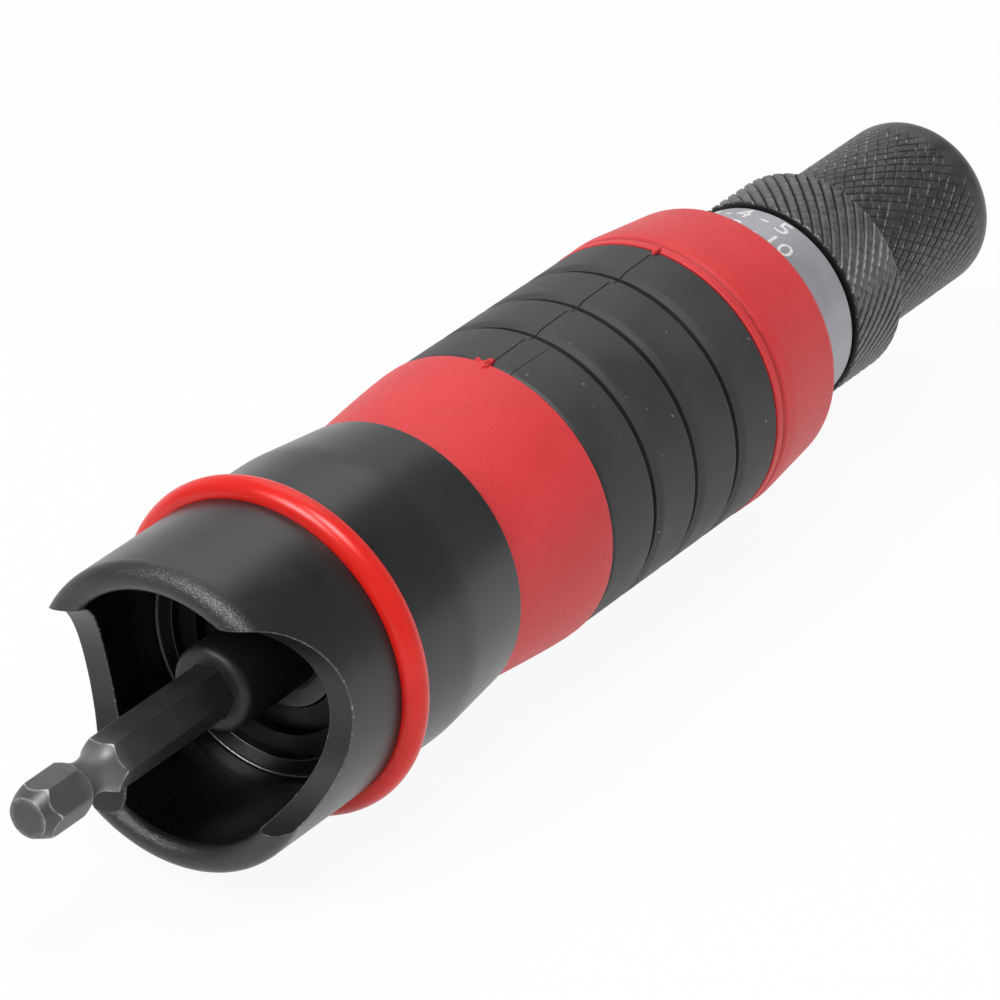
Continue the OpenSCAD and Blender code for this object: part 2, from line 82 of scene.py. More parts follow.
RIM_Y, TUBE_END_Y, CUP_R = reach("barrel")
CORD_START, CORD_END, CORD_OUT_R = reach("bumper_ring")
NECK_Y, GRIP_END_Y, BAND_R = reach("grip_core")
RUBBER_Y, RUBBER_END_Y, RUBBER_R = reach("grip_rubber")
SIZE_START, SIZE_END, SIZE_R = reach("size_ring")
COLLAR_Y, COLLAR_END_Y, COLLAR_R = reach("lock_collar")
SLEEVE_Y, SLEEVE_END_Y, SLEEVE_R = reach("nose_sleeve")
SHANK_END_Y = reach("drive_shank")[1]
print(f"rim {RIM_Y:.2f}, neck {NECK_Y:.2f}, rubber {RUBBER_Y:.2f}, nose's end {SLEEVE_END_Y:.2f} mm")

# %% [markdown]
# A turned surface is a function of two parameters: one runs along the profile, the other round the axis.
# Here a grid of points has a row for each place on the profile and a column for each angle. The last column
# meets the first, and a profile that closes on itself makes a watertight ring. Profiles run
# counter-clockwise, outwards along the front, so that all faces look out.

# %% From a grid of points to a mesh
FULL_TURN = 2 * np.pi


def turn(radius, along, angle):
    """Points of a turned surface: x = radius cos(angle), y = distance along, z = radius sin(angle)."""
    radius, along, angle = np.broadcast_arrays(radius, along, angle)
    return np.stack([radius * np.cos(angle), along, radius * np.sin(angle)], axis=-1)


def angles(count):
    """Equal steps round the tool, as one row."""
    return np.linspace(0, FULL_TURN, count, endpoint=False)[None, :]


def column(values):
    """A list of values as one column, so that it spreads over all angles."""
    return np.asarray(values, float)[:, None]


def skin(name, points, ring=True, depth=None, sharp=32.0):
    """Mesh over a grid of points in mm. ring joins the last row to the first; without it both end rows are
    capped. With depth, each cell is split along its deeper diagonal, so slanting grooves stay clean."""
    rows, cols = points.shape[:2]
    index = np.arange(rows * cols).reshape(rows, cols)
    walk = np.vstack([index, index[:1]]) if ring else index
    beside = np.roll(walk, -1, axis=1)
    cells = np.stack([walk[:-1], walk[1:], beside[1:], beside[:-1]], axis=-1).reshape(-1, 4)
    if depth is None:
        faces = cells.tolist()
    else:
        cut = depth.ravel()[cells]
        first = (cut[:, 0] + cut[:, 2] >= cut[:, 1] + cut[:, 3])[:, None]
        faces = np.where(first, cells[:, [0, 1, 2]], cells[:, [0, 1, 3]]).tolist()
        faces += np.where(first, cells[:, [0, 2, 3]], cells[:, [1, 2, 3]]).tolist()
    if not ring:
        faces += [index[0].tolist(), index[-1][::-1].tolist()]
    mesh = bpy.data.meshes.new(name)
    mesh.from_pydata((points.reshape(-1, 3) * MM).tolist(), [], faces)
    mesh.polygons.foreach_set("use_smooth", np.ones(len(mesh.polygons), bool))
    mesh.set_sharp_from_angle(angle=np.radians(sharp))
    mesh.update()
    return mesh


# %% [markdown]
# A mesh can also carry a number per point, such as wear, so that its finish can tell places apart. Then it
# rides on a body, to move with it, and stands for the solids that it covers.

# %% Marks on a mesh, and its place in the scene
def mark(mesh, name, values):
    """Stores one number per point, such as wear or depth, for a material to read."""
    store = mesh.attributes.new(name, "FLOAT", "POINT")
    store.data.foreach_set("value", np.ascontiguousarray(values, np.float32).ravel())


def added(name, data):
    """A new object in the scene, made from a mesh, a text, a lamp or a camera."""
    made = bpy.data.objects.new(name, data)
    scene.collection.objects.link(made)
    return made


def place(mesh, body, finish, slot, *solid_names):
    """Puts a finished mesh into the scene: it rides on a body and stands for the solids it covers."""
    piece = added(mesh.name, mesh)
    mesh.materials.append(finish)
    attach(piece, body)
    if solid_names:
        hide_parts(*solid_names)
    print(f"{mesh.name}: {len(mesh.vertices)} points, {len(mesh.polygons)} faces")


# %% [markdown]
# A lathe tool leaves small roundings, and it is the light on these that makes an edge look made of metal.
# The next helper takes the corners of a section, each with its rounding, and puts an exact arc on each one.
# A point close to each arc holds the flat beside it, so that smooth shading stays within the edge.

# %% Sections with rounded corners
ARC_STEPS, ARC_SHARE = 5, 0.48
HOLD, HOLD_SHARE = 0.1, 0.04


def outline(corners):
    """Closed section from corners (radius, along, rounding). An arc from a to b round corner c is the
    rational curve ((1-t)^2 a + 2wt(1-t) c + t^2 b) / ((1-t)^2 + 2wt(1-t) + t^2), with w the sine of half
    the angle. It takes at most a set share of each side."""
    corner = np.array(corners, float)
    spots, roundings = corner[:, :2], corner[:, 2]
    back = np.roll(spots, 1, axis=0) - spots
    ahead = np.roll(spots, -1, axis=0) - spots
    back_len = np.linalg.norm(back, axis=1)
    ahead_len = np.linalg.norm(ahead, axis=1)
    back /= back_len[:, None]
    ahead /= ahead_len[:, None]
    half = np.arccos(np.clip((back * ahead).sum(axis=1), -1, 1)) / 2
    room = np.minimum(back_len, ahead_len) * ARC_SHARE
    tangent = np.minimum(roundings / np.tan(half), room)[:, None]
    start, end = spots + back * tangent, spots + ahead * tangent
    t = np.linspace(0, 1, ARC_STEPS)[None, :, None]
    w = np.sin(half)[:, None, None]
    near, mid, off = (1 - t) ** 2, 2 * w * t * (1 - t), t**2
    arc = (near * start[:, None] + mid * spots[:, None] + off * end[:, None]) / (near + mid + off)
    guard = np.minimum(HOLD, room[:, None] * HOLD_SHARE)
    before, after = (start + back * guard)[:, None], (end + ahead * guard)[:, None]
    return np.concatenate([before, arc, after], axis=1).reshape(-1, 2)


def turned_piece(name, corners, columns=256):
    """A ring with a constant section."""
    section = outline(corners)
    return skin(name, turn(section[:, :1], section[:, 1:], angles(columns)))


# %% [markdown]
# Finishes are Principled materials. What is the same all over the surface is set on the shader's sockets,
# and only what varies is wired: grain, wear, dust. All patterns read Object coordinates in metres, so a
# noise of scale 2000 has grains of about half a millimetre.

# %% Helpers for finishes: materials and nodes
def new_finish(name, colour, roughness, metallic=0.0, specular=0.5):
    """An empty finish: its material, its shader and the Object coordinates it reads."""
    material = bpy.data.materials.new(name)
    material.use_nodes = True
    tree = material.node_tree
    shader = tree.nodes["Principled BSDF"]
    shader.inputs["Base Color"].default_value = (*colour, 1)
    shader.inputs["Roughness"].default_value = roughness
    shader.inputs["Metallic"].default_value = metallic
    shader.inputs["Specular IOR Level"].default_value = specular
    where = tree.nodes.new("ShaderNodeTexCoord").outputs["Object"]
    return material, shader, where


def wire(tree, kind, inputs, **settings):
    """Adds a node; an input is either a value or another node's output."""
    made = tree.nodes.new("ShaderNode" + kind)
    for key, value in settings.items():
        setattr(made, key, value)
    for key, value in inputs.items():
        if isinstance(value, bpy.types.NodeSocket):
            tree.links.new(value, made.inputs[key])
        else:
            made.inputs[key].default_value = value
    return made


# %% [markdown]
# The finishes are put together from noise, ranges, mixed colours, numbers read from the mesh, and bumps. A
# node's socket knows its own tree as id_data, so these helpers need not be told it.

# %% Helpers for finishes: patterns
def grain(where, scale, detail=2.0, roughness=0.5, stretch=(1, 1, 1)):
    """Noise of a given scale, drawn out along the axes by stretch."""
    if stretch != (1, 1, 1):
        where = wire(where.id_data, "Mapping", {"Vector": where, "Scale": stretch}).outputs[0]
    feeds = {"Vector": where, "Scale": scale, "Detail": detail, "Roughness": roughness}
    return wire(where.id_data, "TexNoise", feeds).outputs[0]


def between(value, low, high, to_low, to_high):
    """Maps a value from one range to another and stops at its ends."""
    feeds = {"Value": value, "From Min": low, "From Max": high, "To Min": to_low, "To Max": to_high}
    return wire(value.id_data, "MapRange", feeds).outputs[0]


def mix(share, first, second):
    """Colour between first and second, each a colour or another node's output."""
    ends = [end if isinstance(end, bpy.types.NodeSocket) else (*end, 1) for end in (first, second)]
    return wire(share.id_data, "Mix", {0: share, 6: ends[0], 7: ends[1]}, data_type="RGBA").outputs[2]


def mottled(value, low, high, first, second):
    """Colour that goes from first to second while a value, such as noise, goes from low to high."""
    return mix(between(value, low, high, 0.0, 1.0), first, second)


def stored(shader, name):
    """Reads a number that mark() stored on the mesh."""
    return wire(shader.id_data, "Attribute", {}, attribute_name=name).outputs["Fac"]


def times(first, second, operation="MULTIPLY"):
    """The product of two values, or another operation on them."""
    return wire(first.id_data, "Math", {0: first, 1: second}, operation=operation).outputs[0]


def dents(shader, *layers):
    """Chains bumps, each a (height, depth in metres) pair, into the shader's normal."""
    normal = None
    for height, depth in layers:
        feeds = {"Height": height, "Distance": depth, "Strength": 1.0}
        if normal is not None:
            feeds["Normal"] = normal
        normal = wire(shader.id_data, "Bump", feeds).outputs[0]
    shader.id_data.links.new(normal, shader.inputs["Normal"])


def cover(shader, colour, roughness=None):
    """Wires what varies over the surface into the shader: the colour and, if given, the roughness."""
    links = shader.id_data.links
    links.new(colour, shader.inputs["Base Color"])
    if roughness is not None:
        links.new(roughness, shader.inputs["Roughness"])


# %% [markdown]
# ## The hex shank
# The shank is a quarter inch hexagon with a chamfered end and a round groove that a drill's balls catch in.
# It could be cut from a hexagonal bar with booleans, but then the curved lines where groove and flats meet
# are hard to round. Here the radius is a formula: the smaller of a hexagon's radius and a turned radius,
# with a soft minimum that rounds the line between them.

# %% Shank: the smaller of a hexagon and a turned bar
SHANK_FLATS = 6.35
SHANK_CORNER_R = SHANK_FLATS / 2 / np.cos(np.pi / 6)
SHANK_FLAT_AT = np.radians(36.0)
SHANK_TIP_R, SHANK_CHAMFER = 2.6, 2.3
GROOVE_AT, GROOVE_FLOOR_R, GROOVE_CUTTER_R = 10.95, 2.3, 4.8
CORNER_CUT_R, CORNER_BLEND, LINE_BLEND = 3.6, 0.12, 0.06
TIP_EDGE, WORKED_END_Y, OUT_OF_REACH = 0.12, 16.0, 9.0


def soft_min(first, second, blend):
    """Smaller of two values; where they are about equal the corner is rounded over the blend length."""
    return 0.5 * (first + second - np.sqrt((first - second) ** 2 + blend**2))


def hexagon(angle, flats):
    """Radius of a hexagon: half its width over the cosine of the angle to the nearest flat."""
    sixth = np.pi / 3
    off = (angle - SHANK_FLAT_AT + sixth / 2) % sixth - sixth / 2
    return flats / 2 / np.cos(off)


def bar(along):
    """Turned radius of the shank: a cone at the end, and a groove left by a round cutter."""
    cone = SHANK_TIP_R + (SHANK_CORNER_R - SHANK_TIP_R) * along / SHANK_CHAMFER
    swing = np.sqrt(np.clip(GROOVE_CUTTER_R**2 - (along - GROOVE_AT) ** 2, 0, None))
    groove = GROOVE_FLOOR_R + GROOVE_CUTTER_R - swing
    return np.minimum(cone, np.where(swing > 0, groove, OUT_OF_REACH))


shank_angle = angles(288)
worked_y = np.linspace(TIP_EDGE, WORKED_END_Y, 180)
plain_y = np.linspace(WORKED_END_Y + 1, SHANK_END_Y, 14)
shank_y = column(np.concatenate([worked_y, plain_y]))
hex_r = soft_min(hexagon(shank_angle, SHANK_FLATS), CORNER_CUT_R, CORNER_BLEND)
shank_r = soft_min(hex_r, bar(shank_y), LINE_BLEND)
face_share = column([0.1, 0.4, 0.7, 0.9, 0.97])
tip_r = shank_r[:1]
shank_face = turn(tip_r * face_share, 0.0 * face_share, shank_angle)
shank_grid = np.concatenate([shank_face, turn(shank_r, shank_y, shank_angle)])
shank_mesh = skin("hex_shank", shank_grid, ring=False)
print(f"hexagon {SHANK_FLATS} mm over flats, {2 * hex_r.max():.2f} mm over its rounded corners")

# %% [markdown]
# The shank is phosphated, nearly black steel. Drill chucks have worn the coat thin on the tip and in the
# groove, and where the groove meets the corners it is rubbed off and bright steel shows. How close a point
# is to that meeting line is known from the two radii, so it is stored on the mesh as wear. How light the
# coat is depends only on the place along the shank. It is lighter where it is worn thin, and darker towards
# the cup and on the end face, which is painted shade.

# %% Shank: where it is worn, and where shade is painted
WEAR_WIDTH, CORNER_FROM_R, CORNER_SPAN = 0.055, 3.3, 0.2
# Lighter where chucks wore the coat thin, and darker towards the cup as painted shade.
THINNED_AND_SHADED_AT = [0, 6.5, 9.0, 12.5, 15.5, 18]
THINNED_AND_SHADED_BY = [0.4, 0.42, 1.0, 0.95, 0.1, 0.0]
# The end face is painted darker than the tip, as painted shade.
FACE_THINNED_AND_SHADED_BY = 0.25

meeting = np.exp(-(((hex_r - bar(shank_y)) / WEAR_WIDTH) ** 2))
corner_share = np.clip((hex_r - CORNER_FROM_R) / CORNER_SPAN, 0, 1)
face_wear = np.repeat(0.5 * face_share**12, shank_angle.size, axis=1)
mark(shank_mesh, "wear", np.concatenate([face_wear, meeting * (0.4 + 0.6 * corner_share)]))
face_thinned_and_shaded = np.full(face_share.shape, FACE_THINNED_AND_SHADED_BY)
thinned_and_shaded = np.concatenate([face_thinned_and_shaded, np.interp(shank_y, THINNED_AND_SHADED_AT, THINNED_AND_SHADED_BY)])
# This mark carries both the worn coat and the painted shade towards the cup.
mark(shank_mesh, "handled", np.repeat(thinned_and_shaded, shank_angle.size, axis=1))
print(f"worn to bright steel: {(meeting > 0.5).mean():.1%} of the shank's points")

# %% [markdown]
# In the material, wear and thinness, which carries the painted shade too, only choose between three tones.
# Noise breaks the worn line up into chips and clouds both coats, because an even coat looks painted.

# %% Shank: dark steel, bright where it is worn
shank_steel, shader, where = new_finish("phosphated_steel", (0.13, 0.126, 0.121), 0.4, metallic=0.3)
cloud = grain(where, 300, detail=4)
fine = grain(where, 5200, detail=2)
lines = grain(where, 900, detail=3, stretch=(6, 0.6, 6))
chips = grain(where, 1300, detail=3)
rubbed = times(stored(shader, "wear"), between(chips, 0.36, 0.5, 0.1, 1.0))
full_coat = mottled(cloud, 0.3, 0.75, (0.034, 0.033, 0.031), (0.05, 0.048, 0.046))
thin_coat = mottled(cloud, 0.3, 0.75, (0.14, 0.137, 0.132), (0.19, 0.186, 0.18))
# Wear and painted shade: the coat is lighter where worn thin, and darker towards the cup and on the end face.
coat = mix(stored(shader, "handled"), full_coat, thin_coat)
coat = mix(rubbed, coat, (0.72, 0.7, 0.67))
cover(shader, coat, between(lines, 0.3, 0.7, 0.36, 0.46))
dents(shader, (fine, 0.000005), (lines, 0.000003))
place(shank_mesh, "drive", shank_steel, "shank_steel", "drive_shank")

# %% [markdown]
# ## The cup
# The cup is one piece of black anodised aluminium: a thick tube with a well rounded rim, two round openings
# milled across it, a groove for the red cord and a neck. The openings are the hard part. They could be cut
# with a boolean, but that leaves long thin triangles that shade badly. Instead the rim is a height: for
# each radius and angle, the higher of the rounded rim and the milled cylinder. The columns bend with the
# line where both meet, so that this edge runs along the mesh.

# %% Cup: the rim's height at each radius and angle
CUP_BORE_R, RIM_ROUND, RIM_INNER_ROUND = 16.5, 1.9, 1.55
SCALLOP_R, SCALLOP_AHEAD, SCALLOP_AT = 13.5, 3.25, np.radians(12.5)
EDGE, CREASE_BLEND = 0.14, 0.08


def round_off(into, rounding):
    """Drop of a rounded edge at a distance into it: rounding - sqrt(rounding^2 - into^2)."""
    return rounding - np.sqrt(rounding**2 - np.clip(into, 0, rounding) ** 2)


def rim_height(radius):
    """How far the rim lies behind its foremost circle: one rounding at the outer wall, one at the bore."""
    outer_drop = round_off(radius - (CUP_R - RIM_ROUND), RIM_ROUND)
    return outer_drop + round_off(CUP_BORE_R + RIM_INNER_ROUND - radius, RIM_INNER_ROUND)


def milled_height(radius, angle):
    """Height of the milled cylinder: a circle over the distance sideways from the openings' middle."""
    side = radius * np.sin(angle - SCALLOP_AT)
    return np.sqrt(np.clip(SCALLOP_R**2 - side**2, 0, None)) - SCALLOP_AHEAD


def meet_angle(radius):
    """Half the angle that an opening takes at a radius: there the milled cylinder is as high as the rim."""
    side = np.sqrt(SCALLOP_R**2 - (rim_height(radius) + SCALLOP_AHEAD) ** 2)
    return np.arcsin(side / radius)


def cup_angles(half_opening, steps=104):
    """Columns round the cup, crowded at the four edges of the openings: opening, land, opening, land."""
    share = 0.5 - 0.5 * np.cos(np.pi * np.arange(steps) / steps)
    opening = -half_opening + 2 * half_opening * share
    land = half_opening + (np.pi - 2 * half_opening) * share
    return SCALLOP_AT + np.concatenate([opening, land, opening + np.pi, land + np.pi], axis=1)


def cup_front(radius, angle):
    """Distance of the cup's front: the higher of rim and milled cylinder, softened where they meet, with
    a small rounding at the bore and at the outer wall."""
    milled, rim = milled_height(radius, angle), rim_height(radius)
    front = 0.5 * (milled + rim + np.sqrt((milled - rim) ** 2 + CREASE_BLEND**2))
    to_edge = np.minimum(radius - CUP_BORE_R, CUP_R - radius)
    return RIM_Y + front + round_off(EDGE - to_edge, EDGE)


inner_bend = np.radians([0, 8, 14, 20, 26, 33, 41, 50, 60, 70, 80, 90])
outer_bend = np.radians([0, 10, 20, 30, 40, 50, 58, 65, 71, 76, 80, 84, 87, 90])
inner_r = CUP_BORE_R + RIM_INNER_ROUND * (1 - np.cos(inner_bend))
front_r = column(np.concatenate([inner_r, CUP_R - RIM_ROUND + RIM_ROUND * np.sin(outer_bend)]))
front_angle = cup_angles(meet_angle(front_r))
front_y = cup_front(front_r, front_angle)
print(f"wall {CUP_R - CUP_BORE_R:.2f} mm, openings end at {front_y.max():.2f} mm")

# %% [markdown]
# Behind the rim the cup is an ordinary section again: the cord's groove, the neck, the tube under the grip,
# and inside it the seats of nose tube, thrust bearing, ball bearing and retaining ring.

# %% Cup: the section behind the rim
CORD_Y, CORD_R = (CORD_START + CORD_END) / 2, (CORD_END - CORD_START) / 2
CORD_CIRCLE_R = CORD_OUT_R - CORD_R
CLEARANCE = 0.05
NECK_TAPER, NECK_END_R, NECK_ROUND = 11.6, 18.65, 24.0
TUBE_R, ROOT_R, SCREW_R, THRUST_R, BEARING_R, RING_R = 15.6, 12.45, 10.5, 13.1, 14.05, 14.7
FLOOR_Y, RING_Y, BEARING_Y, SHOULDER_Y, THRUST_Y, ROOT_Y = 45.4, 46.6, 47.8, 55.8, 64.5, 133.75
BORE_END_Y = FLOOR_Y - 3

bend = np.radians(np.linspace(267, 93, 22))
groove_r = CORD_R + CLEARANCE
cord_groove = np.stack([CORD_CIRCLE_R + groove_r * np.cos(bend), CORD_Y + groove_r * np.sin(bend)], axis=1)
neck_end_y = NECK_Y - CLEARANCE
neck_corners = [
    (CUP_R, CORD_Y + 3, 0), (CUP_R, NECK_Y - NECK_TAPER, NECK_ROUND),
    (NECK_END_R, neck_end_y, 0.25), (TUBE_R, neck_end_y, 0.05), (TUBE_R, TUBE_END_Y, 0.3),
    (ROOT_R, TUBE_END_Y, 0.1), (ROOT_R, ROOT_Y, 0.05), (SCREW_R, ROOT_Y, 0.05), (SCREW_R, THRUST_Y, 0.1),
    (THRUST_R, THRUST_Y, 0.05), (THRUST_R, SHOULDER_Y, 0.1),
    (BEARING_R, SHOULDER_Y, 0.05), (BEARING_R, BEARING_Y, 0.05),
    (RING_R, BEARING_Y, 0.05), (RING_R, RING_Y, 0.05), (BEARING_R, RING_Y, 0.05), (BEARING_R, FLOOR_Y, 0.12),
    (CUP_BORE_R, FLOOR_Y, 0.5), (CUP_BORE_R, BORE_END_Y, 0),
]
rows_per_corner = ARC_STEPS + 2
# The first corner only gives the wall its direction, so its rows are left out.
neck = outline(neck_corners)[rows_per_corner:]
print(f"cord's groove {len(cord_groove)} rows, neck, tube and seats {len(neck)} rows")

# %% [markdown]
# The outer wall starts at the wavy front edge and evens out before the cord's groove. The bore does the same
# on its way to the floor. In between, the columns lean over slowly from their places at the outer wall to
# those at the bore, so that the grid closes on itself.

# %% Cup: front, walls and section as one grid
outer_share = column([0.015, 0.05, 0.12, 0.25, 0.45, 0.7, 0.98])
outer_y = front_y[-1:] + outer_share * (cord_groove[0, 1] - front_y[-1:])
inner_share = 1 - column([0.25, 0.5, 0.7, 0.85, 0.94, 0.985])
inner_y = front_y[:1] + inner_share * (BORE_END_Y - front_y[:1])
rear_section = np.concatenate([cord_groove, neck])
rear_lean = np.concatenate([np.zeros((len(cord_groove), 1)), column(np.linspace(0, 1, len(neck)))])
outer_half, inner_half = meet_angle(np.array([[CUP_R]])), meet_angle(np.array([[CUP_BORE_R]]))
rear_angle = cup_angles(outer_half + rear_lean * (inner_half - outer_half))
cup_grid = np.concatenate([
    turn(front_r, front_y, front_angle),
    turn(CUP_R, outer_y, cup_angles(outer_half)),
    turn(rear_section[:, :1], rear_section[:, 1:], rear_angle),
    turn(CUP_BORE_R, inner_y, cup_angles(inner_half)),
])
cup_mesh = skin("cup_and_neck", cup_grid, sharp=40.0)
print(f"cup: {cup_grid.shape[0]} rows, {cup_grid.shape[1]} columns")

# %% [markdown]
# The anodised black is bead blasted, most coarsely on the rim, so its highlights are grainy. The milled
# openings are plain and duller, the bore is painted darker as painted shade, and on the sharp edges the
# black is knocked off in small bright nicks, beside a thin lighter line along each edge that is a painted
# highlight. All four belong to places on the mesh, so they are stored there.

# %% Cup: where it is milled, nicked, blasted and inside, and where light and shade are painted
EDGE_W, CREASE_W, CREASE_SHARE = 0.11, 0.09, 0.8
WALL_BLAST, RIM_BLAST = 0.2, 1.0

front_rows = len(front_r)
quarter = front_angle.shape[1] // 4
in_opening = np.tile(np.repeat([1.0, 0.0, 1.0, 0.0], quarter), (front_rows, 1))
milled = np.zeros(cup_grid.shape[:2])
milled[:front_rows] = in_opening
edge_gap = np.minimum(np.abs(front_r - CUP_BORE_R), np.abs(CUP_R - front_r))
crease_gap = milled_height(front_r, front_angle) - rim_height(front_r)
crease = np.exp(-((crease_gap / CREASE_W) ** 2))
# The edge mark is a thin painted highlight along the openings' edges and the crease, and also carries the
# nicks.
edges = np.zeros(cup_grid.shape[:2])
edges[:front_rows] = np.clip(np.exp(-((edge_gap / EDGE_W) ** 2)) * in_opening + CREASE_SHARE * crease, 0, 1)
# Inside the bore the finish paints shade: this mark makes the bore darker.
inside = (np.hypot(cup_grid[..., 0], cup_grid[..., 2]) < CUP_BORE_R + 0.02).astype(float)
inside[:front_rows] = 0.0
blasted = np.full(cup_grid.shape[:2], WALL_BLAST)
blasted[:front_rows] = np.where(in_opening > 0, 0.0, RIM_BLAST)
mark(cup_mesh, "blasted", blasted)
mark(cup_mesh, "milled", milled)
mark(cup_mesh, "edge", edges)
mark(cup_mesh, "inside", inside)
print(f"cup: {milled.mean():.0%} of its points milled, {inside.mean():.0%} inside")

# %% [markdown]
# The finish starts from a hazy black and lays over it, one after another, cut faces, the bore's painted
# shade, dust, and the edges with their painted highlight and their nicks. The blasted grain is a bump,
# scaled by its mark.

# %% Cup: black anodised aluminium
black_alloy, shader, where = new_finish("black_anodised", (0.014, 0.014, 0.0148), 0.3, specular=0.6)
blast = grain(where, 6200, detail=1, roughness=0.6)
haze = grain(where, 160, detail=3)
chips = between(grain(where, 1700, detail=5, roughness=0.7), 0.55, 0.63, 0.0, 1.0)
specks = between(grain(where, 1500, detail=1), 0.78, 0.8, 0.0, 0.5)
cut_face, edge = stored(shader, "milled"), stored(shader, "edge")
coarse, bore = stored(shader, "blasted"), stored(shader, "inside")
base = mottled(haze, 0.35, 0.7, (0.0115, 0.0115, 0.0122), (0.016, 0.016, 0.017))
base = mix(cut_face, base, (0.009, 0.009, 0.0096))
# Painted shade: the bore is painted darker than the rest of the cup.
base = mix(bore, base, (0.003, 0.003, 0.0032))
base = mix(specks, base, (0.08, 0.08, 0.08))
# Painted highlight: a thin lighter line along every edge. The chips mixed in after it are nicks.
base = mix(times(edge, 0.35), base, (0.2, 0.2, 0.21))
base = mix(times(edge, chips), base, (0.5, 0.5, 0.5))
satin = between(haze, 0.3, 0.7, 0.27, 0.33)
satin = between(coarse, 0.4, 1.0, satin, 0.29)
satin = between(bore, 0.0, 1.0, satin, 0.24)
cover(shader, base, between(cut_face, 0.0, 1.0, satin, 0.42))
dents(shader, (times(blast, coarse), 0.00009))
place(cup_mesh, "handle", black_alloy, "black_alloy", "barrel")

# %% [markdown]
# ## The red cord
# A cord of red rubber lies in a groove round the cup and keeps it from scratching. A torus primitive would
# do, but a moulded cord has a fine parting line round its outside, so the section's radius gets a small
# ridge there.

# %% Cord: a torus with a parting line
CORD_INSET, RIDGE_H, RIDGE_W, WRAP = 0.02, 0.012, 0.05, 0.35

cord_bend = column(np.linspace(0, FULL_TURN, 40, endpoint=False))
from_outside = (cord_bend + WRAP) % FULL_TURN - WRAP
section_r = CORD_R - CORD_INSET + RIDGE_H * np.exp(-((from_outside / RIDGE_W) ** 2))
cord_ring_r = CORD_CIRCLE_R + section_r * np.cos(cord_bend)
cord_mesh = skin("bumper_cord", turn(cord_ring_r, CORD_Y + section_r * np.sin(cord_bend), angles(320)))

bumper_red, shader, where = new_finish("glossy_red_rubber", (0.82, 0.016, 0.01), 0.3, specular=0.4)
patch = grain(where, 200, detail=1)
cord_red = mottled(patch, 0.3, 0.7, (0.76, 0.014, 0.009), (0.82, 0.018, 0.012))
cover(shader, cord_red)
place(cord_mesh, "handle", bumper_red, "bumper_red", "bumper_ring")

# %% [markdown]
# ## The red bands
# The grip's core is moulded in red plastic. Only its two ends show, beside the rubber: a rounded band that
# comes out of the neck, and a shorter one that ends in front of the nose. The front band has a narrow lip
# next to the rubber, with a fine groove behind it. One closed section makes all of it.

# %% Bands: one section for both ends
REAR_DROP, REAR_POWER, REAR_STRAIGHT = 1.55, 1.2, 1.6
FRONT_DROP, FRONT_STRAIGHT, FRONT_ROUND = 1.45, 4.0, 1.6
BED_R, CORE_BORE_R, NOSE_HOLE_R, LIP_Y = 17.1, 15.65, 13.85, TUBE_END_Y + CLEARANCE
LIP_W, LIP_DROP, GROOVE_DEPTH, GROOVE_W = 1.2, 0.05, 0.42, 1.0
# Where and how deep the groove's painted shade reaches.
GROOVE_SHADE_MIDDLE, GROOVE_SHADE_REACH, GROOVE_SHADE_DEPTH = 0.45, 0.65, 0.3

rear_share = np.linspace(0, 1, 9)
rear_y = NECK_Y + rear_share * (RUBBER_Y - REAR_STRAIGHT - NECK_Y)
rear_r = BAND_R - REAR_DROP * (1 - rear_share) ** REAR_POWER
rear_round = np.where((rear_share > 0) & (rear_share < 1), 0.6, 0.1)
bed_start, bed_end = RUBBER_Y - CLEARANCE, RUBBER_END_Y + CLEARANCE
lip_r, lip_end = BAND_R - LIP_DROP, RUBBER_END_Y + LIP_W
band_mesh = turned_piece("red_bands", [
    (CORE_BORE_R, NECK_Y, 0.1), *zip(rear_r, rear_y, rear_round),
    (BAND_R, bed_start, 0.25), (BED_R, bed_start, 0.05), (BED_R, bed_end, 0.05),
    (lip_r, bed_end, 0.2), (lip_r, lip_end, 0.05), (BAND_R - GROOVE_DEPTH, lip_end + 0.05, 0.03),
    (BAND_R - 0.02, lip_end + GROOVE_W, 0.2), (BAND_R, RUBBER_END_Y + FRONT_STRAIGHT, 3.0),
    (BAND_R - FRONT_DROP, GRIP_END_Y, FRONT_ROUND), (NOSE_HOLE_R, GRIP_END_Y, 0.2),
    (NOSE_HOLE_R, LIP_Y, 0.05), (CORE_BORE_R, LIP_Y, 0.05),
], columns=288)
spots = np.empty(len(band_mesh.vertices) * 3)
band_mesh.vertices.foreach_get("co", spots)
x, y, z = spots.reshape(-1, 3).T / MM
# Painted shade: the red is made deeper in and just behind the lip's groove.
in_groove = np.abs(y - lip_end - GROOVE_SHADE_MIDDLE) < GROOVE_SHADE_REACH
mark(band_mesh, "groove", np.clip((lip_r - np.hypot(x, z)) / GROOVE_SHADE_DEPTH, 0, 1) * in_groove)
print(f"bands {bed_start - NECK_Y:.2f} and {GRIP_END_Y - bed_end:.2f} mm wide")

# %% [markdown]
# The red plastic is matt with a fine spark erosion texture, so light breaks up on it in tiny glints. In the
# groove the red is painted deeper, as painted shade, because only light that is already red gets there.

# %% Bands: textured red plastic
grip_red, shader, where = new_finish("textured_red", (0.71, 0.034, 0.039), 0.45, specular=0.5)
peel = grain(where, 3000, detail=3, roughness=0.7)
tone = grain(where, 90, detail=3)
red = mottled(tone, 0.3, 0.7, (0.69, 0.032, 0.037), (0.77, 0.04, 0.046))
# Painted shade in the groove: a deeper red.
red = mix(stored(shader, "groove"), red, (0.34, 0.005, 0.006))
cover(shader, red, between(peel, 0.3, 0.7, 0.38, 0.54))
dents(shader, (peel, 0.00012))
place(band_mesh, "handle", grip_red, "grip_red", "grip_core")

